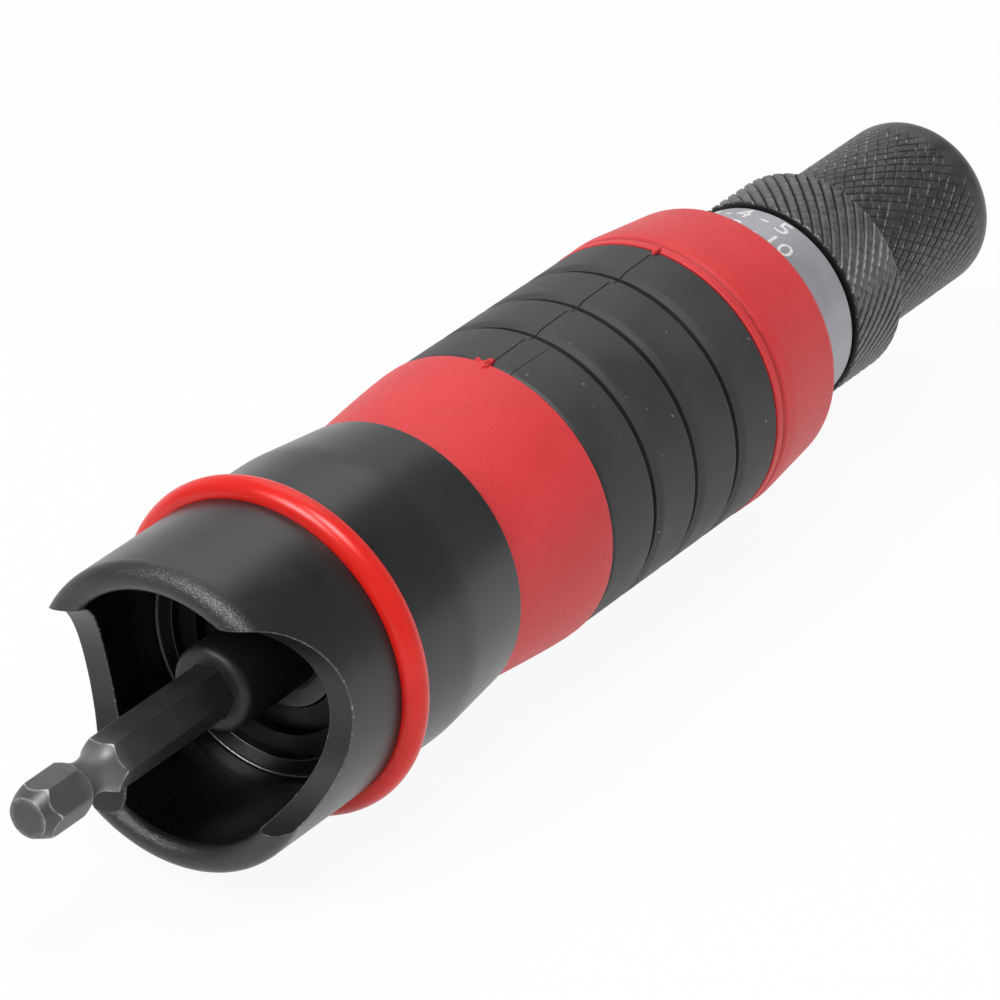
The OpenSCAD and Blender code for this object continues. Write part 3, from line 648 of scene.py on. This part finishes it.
# %% [markdown]
# ## The rubber
# Black rubber is moulded over the core in four rings. Each ring ends in a small step towards the nose, and
# the next one rises from it in a slope, so a section shows a saw. A fine crack runs along the top, where
# the mould closed, and it shifts a little at each ring.

# %% Rubber: saw section and seam
RINGS, RING_STEP, RING_SLOPE = 4, 0.65, 2.0
SLIT_DEPTH, SLIT_W, LIP_ROUND, REAR_ROUND = 1.1, 0.9, 0.45, 0.5
SEAM_AT, SEAM_DRIFT, SEAM_STEP = np.radians(87.0), 0.3, 0.6
STEP_AT, STEP_LEN, LAST_ROW = 0.87, 0.025, 0.9999
ring_len = (RUBBER_END_Y - RUBBER_Y) / RINGS


def saw(along):
    """Drop of the surface: at its start each ring but the first lies a step low, with a slit at the foot
    of the step, and it rises evenly over the slope."""
    into = (along - RUBBER_Y) % ring_len
    rise = RING_STEP * np.clip(1 - into / RING_SLOPE, 0, 1)
    drop = np.where(into < SLIT_W, SLIT_DEPTH, rise)
    return np.where(along > RUBBER_Y + ring_len * LAST_ROW, drop, 0.0)


def seam_angle(along):
    """Place of the seam: it drifts a third of a millimetre along each ring and steps back near its end."""
    into = ((along - RUBBER_Y) % ring_len) / ring_len
    drift = SEAM_DRIFT * into - SEAM_STEP * np.clip((into - STEP_AT) / STEP_LEN, 0, 1)
    return SEAM_AT + drift / RUBBER_R


def ripple(first, second, seed):
    """Smooth made-up unevenness between about -1 and 1: a sum of sines with fixed odd frequencies."""
    draw = np.random.default_rng(seed)
    wave = draw.uniform(0.6, 2.4, (5, 2)) * np.array([[1], [2.3], [4.1], [6.7], [9.9]])
    phase = draw.uniform(0, FULL_TURN, 5)
    layers = zip(wave, phase, np.arange(5) + 1.5)
    return sum(np.sin(f * first + g * second + p) / fall for (f, g), p, fall in layers) / 1.2


print(f"{RINGS} rings of {ring_len:.2f} mm")

# %% [markdown]
# An even grid would need millions of points to show a crack a tenth of a millimetre wide. So the rows crowd
# at each step, the columns crowd round the seam and follow it, and elsewhere both are wide apart.

# %% Rubber: rows and columns
SEAM_SPAN, TORN_SPAN = np.radians(12), np.radians(30)
FAINT_AT = np.radians(-9.2)

slit_rows = SLIT_W / ring_len * np.array([0.0, 0.5, 0.985, 1.015])
flat_rows = [np.linspace(0.12, 0.22, 4), np.linspace(0.27, 0.86, 12), np.linspace(0.87, 0.9, 5)]
lip_rows = [0.93, 0.955, 0.97, 0.98, 0.988, 0.994, 0.998, LAST_ROW]
in_ring = np.concatenate([slit_rows, *flat_rows, lip_rows])
ring_starts = RUBBER_Y + ring_len * np.arange(RINGS)[:, None]
rubber_y = column((ring_starts + ring_len * in_ring[None, :]).ravel())
rubber_y = np.where(rubber_y > RUBBER_END_Y - 0.01, RUBBER_END_Y, rubber_y)

near_seam = np.sinh(np.linspace(-4.2, 4.2, 61)) / np.sinh(4.2) * SEAM_SPAN
near_faint = FAINT_AT + np.radians(np.linspace(-0.3, 0.3, 9))
torn_side = np.radians(np.linspace(-30, -12, 56))[:-1]
far = np.linspace(SEAM_SPAN, FULL_TURN - TORN_SPAN, 190)[1:-1]
from_seam = np.sort(np.concatenate([near_seam, near_faint, torn_side, far]))[None, :]
follow = np.exp(-((np.minimum(from_seam, FULL_TURN - from_seam) / np.radians(6)) ** 4))
rubber_angle = SEAM_AT + from_seam + follow * (seam_angle(rubber_y) - SEAM_AT)
print(f"rubber: {rubber_y.size} rows, {from_seam.size} columns")

# %% [markdown]
# The radius is then one sum: the saw, less the crack, a fainter one beside it on the first ring, the round
# edges, and a lip that is ragged on the side of the seam where the rubber tore.

# %% Rubber: the radius as a sum
CRACK_DEPTH, CRACK_W, FAINT_DEPTH, FAINT_W = 0.25, 0.06, 0.07, 0.05
RAGGED_DEPTH, RAGGED_W, RAGGED_SPAN = 0.16, 0.16, np.radians(20)

crack = CRACK_DEPTH * np.exp(-((from_seam * RUBBER_R / CRACK_W) ** 2))
faint = FAINT_DEPTH * np.exp(-(((from_seam - FAINT_AT) * RUBBER_R / FAINT_W) ** 2))
faint = faint * (rubber_y < RUBBER_Y + ring_len)
to_ring_end = ring_len - (rubber_y - RUBBER_Y) % ring_len
lip_drop = round_off(LIP_ROUND - to_ring_end, LIP_ROUND)
rear_drop = round_off(REAR_ROUND - (rubber_y - RUBBER_Y), REAR_ROUND)
torn = (from_seam < 0) * np.exp(-((from_seam / RAGGED_SPAN) ** 2))
ragged = RAGGED_DEPTH * torn * np.exp(-((to_ring_end / RAGGED_W) ** 2))
ragged_lip = -ragged * (1 + ripple(rubber_angle * 110, rubber_y, 31))
rubber_r = RUBBER_R - saw(rubber_y) - crack - faint - rear_drop - lip_drop + ragged_lip
bed_rows = turn(BED_R + CLEARANCE, column([RUBBER_END_Y, RUBBER_Y]), rubber_angle[[-1, 0]])
rubber_grid = np.concatenate([turn(rubber_r, rubber_y, rubber_angle), bed_rows])
rubber_mesh = skin("rubber_grip", rubber_grid, sharp=50.0)
print(f"rubber: radius {rubber_r.min():.2f} to {rubber_r.max():.2f} mm")

# %% [markdown]
# Moulded rubber is dull and never clean: it is a little lighter where it is rubbed, and dust sticks to it.

# %% Rubber: dull black with dust
grip_black, shader, where = new_finish("moulded_rubber", (0.03, 0.03, 0.031), 0.56, specular=0.45)
smear = grain(where, 130, detail=4)
pores = grain(where, 2600, detail=2)
dust = between(grain(where, 1150, detail=1), 0.77, 0.79, 0.0, 0.6)
rubbed_black = mottled(smear, 0.35, 0.68, (0.031, 0.031, 0.032), (0.045, 0.045, 0.046))
dusty_black = mix(dust, rubbed_black, (0.3, 0.28, 0.26))
cover(shader, dusty_black, between(smear, 0.3, 0.7, 0.48, 0.62))
dents(shader, (pores, 0.000018))
place(rubber_mesh, "handle", grip_black, "grip_black", "grip_rubber")

# %% [markdown]
# Where the mould closed, thin red flash was squeezed out at both ends of the seam and torn off by hand. Each
# scrap is an ellipsoid whose thickness wanders, which is enough for something smaller than a grain of rice.

# %% Torn flash beside the seam
def scrap(name, along, degrees, length, width, height, seed):
    """Uneven ellipsoid on the grip: y follows the sine of the first angle, width and height its cosine."""
    lean = column(np.linspace(-1.5, 1.5, 25))
    spin = angles(36)
    uneven = np.cos(lean) * (1 + 0.4 * ripple(spin * 2, lean * 4, seed))
    radius = BAND_R - 0.1 + height / 2 * uneven * np.cos(spin)
    angle = np.radians(degrees) + width / 2 * uneven * np.sin(spin) / BAND_R
    return skin(name, turn(radius, along + length / 2 * np.sin(lean), angle), ring=False)


FLASH = [
    scrap("rear_flash", RUBBER_Y - 0.1, 87.6, length=2.8, width=1.1, height=1.0, seed=3),
    scrap("rear_burr", RUBBER_Y, 90.6, length=0.5, width=1.5, height=0.5, seed=9),
    scrap("rear_shred", RUBBER_Y + 0.3, 92.4, length=0.7, width=0.5, height=0.5, seed=12),
    scrap("front_flash", RUBBER_END_Y - 0.1, 87.1, length=1.9, width=0.7, height=0.8, seed=5),
]
for flash_mesh in FLASH:
    place(flash_mesh, "handle", grip_red, "grip_red")

# %% [markdown]
# ## The size ring
# A grey anodised ring tells which sizes of rivet nut the tool takes. It is a plain turned ring, and the fine
# marks of the lathe run round it, so its noise is drawn out that way.

# %% Size ring
THREAD_R = 9.85

size_mesh = turned_piece("size_ring_skin", [
    (THREAD_R, SIZE_START, 0.05), (SIZE_R, SIZE_START, 0.1),
    (SIZE_R, SIZE_END, 0.3), (THREAD_R, SIZE_END, 0.05),
])
grey_alloy, shader, where = new_finish("grey_anodised", (0.34, 0.34, 0.37), 0.42, metallic=0.35)
turning = grain(where, 700, detail=3, stretch=(0.15, 6, 0.15))
mottle = grain(where, 300, detail=3)
grey = mottled(mottle, 0.3, 0.7, (0.39, 0.39, 0.422), (0.44, 0.44, 0.475))
cover(shader, grey, between(turning, 0.3, 0.7, 0.36, 0.48))
dents(shader, (turning, 0.000006), (grain(where, 3800), 0.000006))
place(size_mesh, "handle", grey_alloy, "grey_alloy", "size_ring")

# %% [markdown]
# Two rows of numbers are printed on it. A picture of them would blur from near by, so they are a text made
# into a mesh: cut into narrow strips, so that it can bend, and then wrapped round the ring by taking its x
# as an arc length.

# %% Numbers printed on the size ring
INK_H, WIDE, SIZE_FOR_HEIGHT = 0.03, 1.35, 1.38
STRIPS = np.arange(-3, 3.01, 0.25)


def flat_number(text, height):
    """Mesh of a text, in mm, centred on its place: x along the row, y up, with a thin edge."""
    curve = bpy.data.curves.new("number", "FONT")
    curve.body, curve.size, curve.align_x = text, height * SIZE_FOR_HEIGHT, "CENTER"
    curve.extrude, curve.resolution_u = INK_H / 2, 6
    holder = added("number", curve)
    bpy.context.view_layer.update()
    mesh = bpy.data.meshes.new_from_object(holder.evaluated_get(bpy.context.evaluated_depsgraph_get()))
    bpy.data.objects.remove(holder)
    return mesh


def wrapped(mesh, middle, base_y):
    """Bends a flat mesh round the size ring: x becomes an angle against the turn, z a height over it."""
    cut = bmesh.new()
    cut.from_mesh(mesh)
    for x in STRIPS:
        whole = cut.verts[:] + cut.edges[:] + cut.faces[:]
        bmesh.ops.bisect_plane(cut, geom=whole, plane_co=(x, 0, 0), plane_no=(1, 0, 0))
    bmesh.ops.remove_doubles(cut, verts=cut.verts, dist=1e-4)
    cut.to_mesh(mesh)
    cut.free()
    flat = np.empty(len(mesh.vertices) * 3)
    mesh.vertices.foreach_get("co", flat)
    x, up, height = flat.reshape(-1, 3).T
    bent = turn(SIZE_R + INK_H / 2 + height, base_y + up, middle - WIDE * x / SIZE_R)
    mesh.vertices.foreach_set("co", (bent * MM).ravel())
    mesh.update()


NUMBER_ROWS = [
    (150.0, 2.5, [("3", 119.0), ("-", 107.5), ("4", 98.0), ("-", 84.5), ("5", 73.0)]),
    (146.7, 2.4, [("6", 121.0), ("-", 109.0), ("8", 97.0), ("-", 83.0), ("10", 67.0)]),
]
white_ink, shader, where = new_finish("white_ink", (0.8, 0.8, 0.8), 0.6)
faded = grain(where, 2600, detail=3)
ink = mottled(faded, 0.35, 0.6, (0.7, 0.7, 0.71), (0.88, 0.88, 0.88))
cover(shader, ink)
for base_y, height, numbers in NUMBER_ROWS:
    for text, degrees in numbers:
        number_mesh = flat_number(text, height)
        number_mesh.name = f"size_mark_{'dash' if text == '-' else text}_{int(degrees)}_{int(base_y)}"
        wrapped(number_mesh, np.radians(degrees), base_y)
        place(number_mesh, "handle", white_ink, "grey_alloy")

# %% [markdown]
# ## The knurls
# Two pieces are turned by hand, so both are knurled: hard wheels press two families of V grooves into the
# steel, one leaning each way, and leave small diamonds. A bump map looks flat on the outline, so the grooves
# are real. Rows and columns are chosen so that both families run exactly along the diagonals of the grid.

# %% Knurl: two families of V grooves
KNURL_LINES, CELLS = 48, 12
PAINTED_GLINT_W = 0.07


def knurl(angle, along, pitch, width, second):
    """Share of the full groove depth: 1 on a groove's line, 0 from half its width on. A groove's line is
    where lines * turns - along / pitch is a whole number; with a plus it is the second family, which is
    shallower. Also gives how close a point is to the upper edge of the first family's grooves, where the
    finish paints highlights."""
    turns = KNURL_LINES * angle / FULL_TURN
    families = np.stack([turns - along / pitch, turns + along / pitch])
    off = families - np.round(families)
    share = np.clip(1 - np.abs(off) / (width / 2), 0, 1)
    painted_glint_edge = np.exp(-(((off[0] - width / 2) / PAINTED_GLINT_W) ** 2)) * (1 - share[1])
    return np.maximum(share[0], second * share[1]), painted_glint_edge


def knurled_ring(name, start, end, radius, inside, pitch, width, depth, second, front_round, end_round,
                 plain=0.0):
    """Ring with a knurled outside: radius = the smaller of knurl and rounded ends. inside is the bore's
    section, and over the plain length before the far rounding the knurl fades out."""
    length = end - start
    angle = angles(KNURL_LINES * CELLS)
    rows = np.arange(0, int(length / pitch * CELLS) + 1) * pitch / CELLS
    front_rows = front_round * np.array([0.0, 0.08, 0.25])
    end_rows = length - end_round * np.array([0.16, 0.06, 0.015, 0.0])
    along = column(np.unique(np.concatenate([rows, front_rows, end_rows])))
    fade = np.clip((length - end_round - along) / plain, 0, 1) if plain else 1.0
    share, painted_glint_edge = (fade * value for value in knurl(angle, along, pitch, width, second))
    head_drop = round_off(front_round - along, front_round)
    turned = radius - head_drop - round_off(along - (length - end_round), end_round)
    wall = np.minimum(radius - depth * share, turned)
    inner = np.array(inside, float)
    bore_rows = np.zeros((len(inner), angle.shape[1]))
    grid = np.concatenate([turn(wall, start + along, angle), turn(inner[:, :1], inner[:, 1:], angle)])
    mesh = skin(name, grid, depth=np.concatenate([share * depth, bore_rows]), sharp=28.0)
    shown = turned > radius - depth
    sunk = np.maximum(share * shown, np.clip(1 - along / front_round, 0, 1))
    mark(mesh, "groove", np.concatenate([sunk, bore_rows + 1]))
    mark(mesh, "painted_glint_edge", np.concatenate([painted_glint_edge * shown, bore_rows]))
    return mesh


# %% [markdown]
# Both knurls are black oxide: dark in the grooves, grey where the diamonds' tops have been handled, with
# short bright dashes painted on the upper edges of the grooves as painted highlights, where an edge would
# catch the light.

# %% Knurl: black oxide steel
def knurl_finish(name, dull, handled, gleam):
    """Black oxide: its tone on the diamonds' tops wanders between dull and handled, and gleam is how
    bright the painted highlights, short dashes on the grooves' edges, are."""
    material, shader, where = new_finish(name, (dull, dull, dull), 0.38, metallic=0.5)
    rub = grain(where, 500, detail=4)
    # The dashes are painted highlights.
    dash = between(grain(where, 900, detail=3), 0.5, 0.6, 0.0, gleam)
    worn = (handled, handled, 1.02 * handled)
    top = mottled(rub, 0.35, 0.68, (dull, dull, 1.02 * dull), worn)
    oxide = mottled(stored(shader, "groove"), 0.05, 0.8, top, (0.024, 0.024, 0.025))
    # Painted highlights: bright dashes on the upper edge of the first family's grooves.
    oxide = mix(times(dash, stored(shader, "painted_glint_edge")), oxide, (0.55, 0.55, 0.54))
    cover(shader, oxide, between(rub, 0.3, 0.7, 0.32, 0.46))
    dents(shader, (grain(where, 4200, detail=2), 0.00003))
    return material


# %% [markdown]
# The lock collar is the coarser one: its grooves lean about 45 degrees. It holds the nose at its setting.

# %% Lock collar
NUT_BORE_R = 9.86

# The first and the last point of a bore's section lie on the ring's end faces.
collar_bore = [
    (11.5, COLLAR_END_Y), (NUT_BORE_R, COLLAR_END_Y), (NUT_BORE_R, COLLAR_Y), (12.0, COLLAR_Y),
]
collar_mesh = knurled_ring(
    "lock_collar_skin", COLLAR_Y, COLLAR_END_Y, COLLAR_R, collar_bore,
    pitch=1.92, width=0.42, depth=0.3, second=0.25, front_round=0.5, end_round=1.0,
)
collar_oxide = knurl_finish("collar_oxide", 0.11, 0.17, gleam=0.7)
place(collar_mesh, "collar", collar_oxide, "knurled_steel", "lock_collar")

# %% [markdown]
# The nose sleeve's grooves lean about 30 degrees. Its far edge is well rounded, so the diamonds run out
# there. Its bore has a hole for the anvil, a wall behind it and a groove for the snap ring.

# %% Nose sleeve
SLEEVE_ROUND, END_WALL, SNAP_Y = 4.2, 7, 181.95
ANVIL_R, ANVIL_CHAMFER, SNAP_R, SNAP_W = 7.0, 0.4, 10.55, 1.05

wall_y = SLEEVE_END_Y - END_WALL
snap_start = SNAP_Y - CLEARANCE
sleeve_bore = [
    (ANVIL_R + ANVIL_CHAMFER, SLEEVE_END_Y), (ANVIL_R, SLEEVE_END_Y - ANVIL_CHAMFER), (ANVIL_R, wall_y),
    (NUT_BORE_R, wall_y), (NUT_BORE_R, SNAP_Y + SNAP_W), (SNAP_R, SNAP_Y + SNAP_W), (SNAP_R, snap_start),
    (NUT_BORE_R, snap_start), (NUT_BORE_R, SLEEVE_Y), (10.6, SLEEVE_Y),
]
sleeve_mesh = knurled_ring(
    "nose_sleeve_skin", SLEEVE_Y, SLEEVE_END_Y, SLEEVE_R, sleeve_bore,
    pitch=2.58, width=0.28, depth=0.11, second=0.9, front_round=0.4, end_round=SLEEVE_ROUND, plain=3.0,
)
sleeve_oxide = knurl_finish("sleeve_oxide", 0.055, 0.095, gleam=1.0)
place(sleeve_mesh, "nose", sleeve_oxide, "knurled_steel", "nose_sleeve")

# %% [markdown]
# ## What stays as it was packed
# The bearing, the screw and the puller are hidden, or show only as dim rings on the cup's floor. Their
# solids are exact already, so they keep them and only get a finish: turned steel with fine rings, ground
# bearing steel, spring steel, brass and black seal rubber.

# %% Finishes for the inner parts
def inner_finish(name, colour, roughness, metallic, swirl, specular=0.5):
    """Machined metal or plain rubber: fine rings along the tool, with a little unevenness in tone."""
    material, shader, where = new_finish(name, colour, roughness, metallic, specular)
    rings = grain(where, swirl, detail=3, stretch=(0.3, 5, 0.3))
    uneven = grain(where, 350, detail=3)
    darker = tuple(0.8 * c for c in colour)
    sheen = between(rings, 0.3, 0.7, roughness - 0.07, roughness + 0.07)
    cover(shader, mottled(uneven, 0.3, 0.7, darker, colour), sheen)
    dents(shader, (rings, 0.000006))
    return material


INNER = [
    (inner_finish("ground_steel", (0.085, 0.085, 0.087), 0.34, 1.0, 900),
     ["bearing_outer_race", "bearing_inner_race", "bearing_balls", "thrust_washer_front",
      "thrust_washer_rear", "thrust_rollers", "guide_pins", "shank_pin"]),
    (inner_finish("turned_steel", (0.42, 0.43, 0.45), 0.35, 1.0, 600), ["draw_sleeve", "anvil_bush"]),
    (inner_finish("spring_steel", (0.018, 0.018, 0.019), 0.5, 0.6, 800),
     ["retaining_ring", "screw_stop_ring", "anvil_snap_ring"]),
    (inner_finish("black_oxide", (0.04, 0.04, 0.042), 0.42, 0.6, 700),
     ["nose_tube", "mandrel_chuck", "chuck_set_screws"]),
    (inner_finish("dark_spindle", (0.042, 0.04, 0.038), 0.5, 0.5, 700), ["spindle"]),
    (inner_finish("pressed_shield", (0.015, 0.015, 0.016), 0.45, 0.6, 500), ["bearing_shield"]),
    (inner_finish("pressed_brass", (0.6, 0.42, 0.16), 0.35, 1.0, 500), ["bearing_cage", "thrust_cage"]),
    (inner_finish("seal_rubber", (0.003, 0.003, 0.003), 0.6, 0.0, 500, 0.12), ["seal_ring"]),
]
for material, names in INNER:
    for name in names:
        solids[name].data.materials.clear()
        solids[name].data.materials.append(material)
print("inner solids finished:", sum(len(names) for _, names in INNER))

# %% [markdown]
# ## Studio
# The photograph looks taken on a white sheet. The camera sees white all round. Gloss sees the sheet's far
# part bright and its near part, below the shank, dim. The light that falls on the tool stays at a plain
# level, so that a colour looks as it is written, and the sheet keeps the tool's shadow.

# %% Floor
FLOOR_Z, FLOOR_HALF = cad_box[0].z, 3.0
WHITE_SHARE = 0.93


def seen_by(tree, *kinds):
    """1 for rays of the given kinds, such as rays from the camera or from gloss, and 0 for others."""
    path = tree.nodes.new("ShaderNodeLightPath")
    total = path.outputs[kinds[0]]
    for kind in kinds[1:]:
        total = times(total, path.outputs[kind], "ADD")
    return wire(tree, "Clamp", {"Value": total}).outputs[0]


floor_spots = np.array([(-1, -1, 0), (1, -1, 0), (1, 1, 0), (-1, 1, 0)]) * FLOOR_HALF + (0, 0, FLOOR_Z)
floor_mesh = bpy.data.meshes.new("studio_floor")
floor_mesh.from_pydata(floor_spots.tolist(), [], [(0, 1, 2, 3)])
floor = added("studio_floor", floor_mesh)
paper, shader, where = new_finish("white_paper", (0.9, 0.9, 0.9), 0.9)
tree = paper.node_tree
white = wire(tree, "Emission", {"Color": (1, 1, 1, 1), "Strength": 1.0}).outputs[0]
along_floor = wire(tree, "SeparateXYZ", {"Vector": where}).outputs["Y"]
lit_part = between(along_floor, -0.3, 0.02, 0.1, 0.88)
gloss = times(seen_by(tree, "Is Glossy Ray", "Is Transmission Ray"), lit_part)
white_seen = times(gloss, seen_by(tree, "Is Camera Ray"), "MAXIMUM")
white_share = times(white_seen, WHITE_SHARE)
sheet = wire(tree, "MixShader", {0: white_share, 1: shader.outputs[0], 2: white}).outputs[0]
tree.links.new(sheet, tree.nodes["Material Output"].inputs["Surface"])
floor_mesh.materials.append(paper)
print(f"floor at {FLOOR_Z / MM:.2f} mm")

# %% [markdown]
# The low sides of the room glow and it is dim above, which is why the black cup is dark in its middle and
# bright along its lower edge. Besides, gloss sees the two front lamps as bright patches, and these make the
# two grainy highlights on the cup's rim.

# %% World
DARK_SIDE = (0.501, 0.651, 0.571)
LEFT_LAMP, TOP_LAMP, LAMP_GLEAM = (-0.227, -0.678, 0.698), (0.176, -0.213, 0.959), 10.0
LAMP_EDGE, LAMP_CORE, FILL = 0.952, 0.988, 0.41

world = bpy.data.worlds.new("white_tent")
scene.world = world
world.use_nodes = True
tree = world.node_tree
direction = tree.nodes.new("ShaderNodeTexCoord").outputs["Generated"]


def toward(aim):
    """How far a ray points towards an aim: the cosine of the angle between both."""
    return wire(tree, "VectorMath", {0: direction, 1: aim}, operation="DOT_PRODUCT").outputs["Value"]


axes = wire(tree, "SeparateXYZ", {"Vector": direction}).outputs
glow = between(toward(DARK_SIDE), 0.3, 0.92, 0.74, 0.32)
glow = times(glow, between(axes["Z"], 0.3, 0.9, 1.0, 0.3))
glow = times(glow, between(axes["Y"], -0.5, 0.1, 0.12, 1.0))
for lamp_at in (LEFT_LAMP, TOP_LAMP):
    glow = times(glow, between(toward(lamp_at), LAMP_EDGE, LAMP_CORE, 0.0, LAMP_GLEAM), "ADD")
fill = wire(tree, "Background", {"Color": (1, 1, 1, 1), "Strength": FILL}).outputs[0]
sides = wire(tree, "Background", {"Color": (0.97, 0.985, 1, 1), "Strength": glow}).outputs[0]
backdrop = wire(tree, "Background", {"Color": (1, 1, 1, 1), "Strength": 1.0}).outputs[0]
gloss = seen_by(tree, "Is Glossy Ray", "Is Transmission Ray")
tent = wire(tree, "MixShader", {0: gloss, 1: fill, 2: sides}).outputs[0]
tent = wire(tree, "MixShader", {0: seen_by(tree, "Is Camera Ray"), 1: tent, 2: backdrop}).outputs[0]
tree.links.new(tent, tree.nodes["World Output"].inputs["Surface"])
print(f"world: fill {FILL}, lamp patches {LAMP_GLEAM}")

# %% [markdown]
# Three softboxes give the light its direction: two in front, where gloss sees their patches, and a larger
# one behind that lifts the upper edges.

# %% Lamps
def stand(holder, side, up, back, spot):
    """Stands a lamp or a camera at a spot, in metres: its x, y and z axes become side, up and back."""
    pose = np.column_stack([side, up, back, spot])
    holder.matrix_world = Matrix(np.vstack([pose, [0, 0, 0, 1]]).tolist())


def softbox(name, spot, aim, size, watts):
    """A square lamp at a spot, in metres, that looks at a point of the tool."""
    lamp = bpy.data.lights.new(name, "AREA")
    lamp.energy, lamp.size = watts, size
    back = np.array(spot, float) - np.array(aim, float)
    back /= np.linalg.norm(back)
    side = np.cross([0, 1, 0] if abs(back[2]) > 0.9 else [0, 0, 1], back)
    side /= np.linalg.norm(side)
    stand(added(name, lamp), side, np.cross(back, side), back, spot)
    print(f"{name}: {watts} W")


softbox("left_box", (-0.17, -0.48, 0.52), (0, 0.03, 0), size=0.24, watts=1.9)
softbox("top_box", (0.13, -0.13, 0.72), (0, 0.03, 0), size=0.24, watts=2.0)
softbox("back_box", (-0.28, 0.5, 0.7), (0, 0.06, 0), size=0.6, watts=1.4)

# %% [markdown]
# The camera was fitted to the round edges in the photograph: a long lens, behind and above the shank's end
# on the +X side, with the tool running away to the upper right.

# %% Camera
AZIMUTH, ELEVATION = np.radians(35.0), np.radians(29.26)
AIM_Y, SHIFT_RIGHT, SHIFT_UP, DISTANCE = 0.0446, 0.028129, 0.018349, 0.827439

right = np.array([np.cos(AZIMUTH), np.sin(AZIMUTH), 0])
level = np.array([-np.sin(AZIMUTH), np.cos(AZIMUTH), 0])
ahead = level * np.cos(ELEVATION) + np.array([0, 0, -np.sin(ELEVATION)])
upward = np.cross(right, ahead)
eye = np.array([0, AIM_Y, 0]) + SHIFT_RIGHT * right + SHIFT_UP * upward - DISTANCE * ahead
camera = bpy.data.cameras.new("camera")
camera.sensor_width, camera.lens = 36, 252
viewer = added("camera", camera)
stand(viewer, right, upward, -ahead, eye)
scene.camera = viewer
scene.view_settings.view_transform = "Standard"
print("camera at", eye.round(4).tolist())
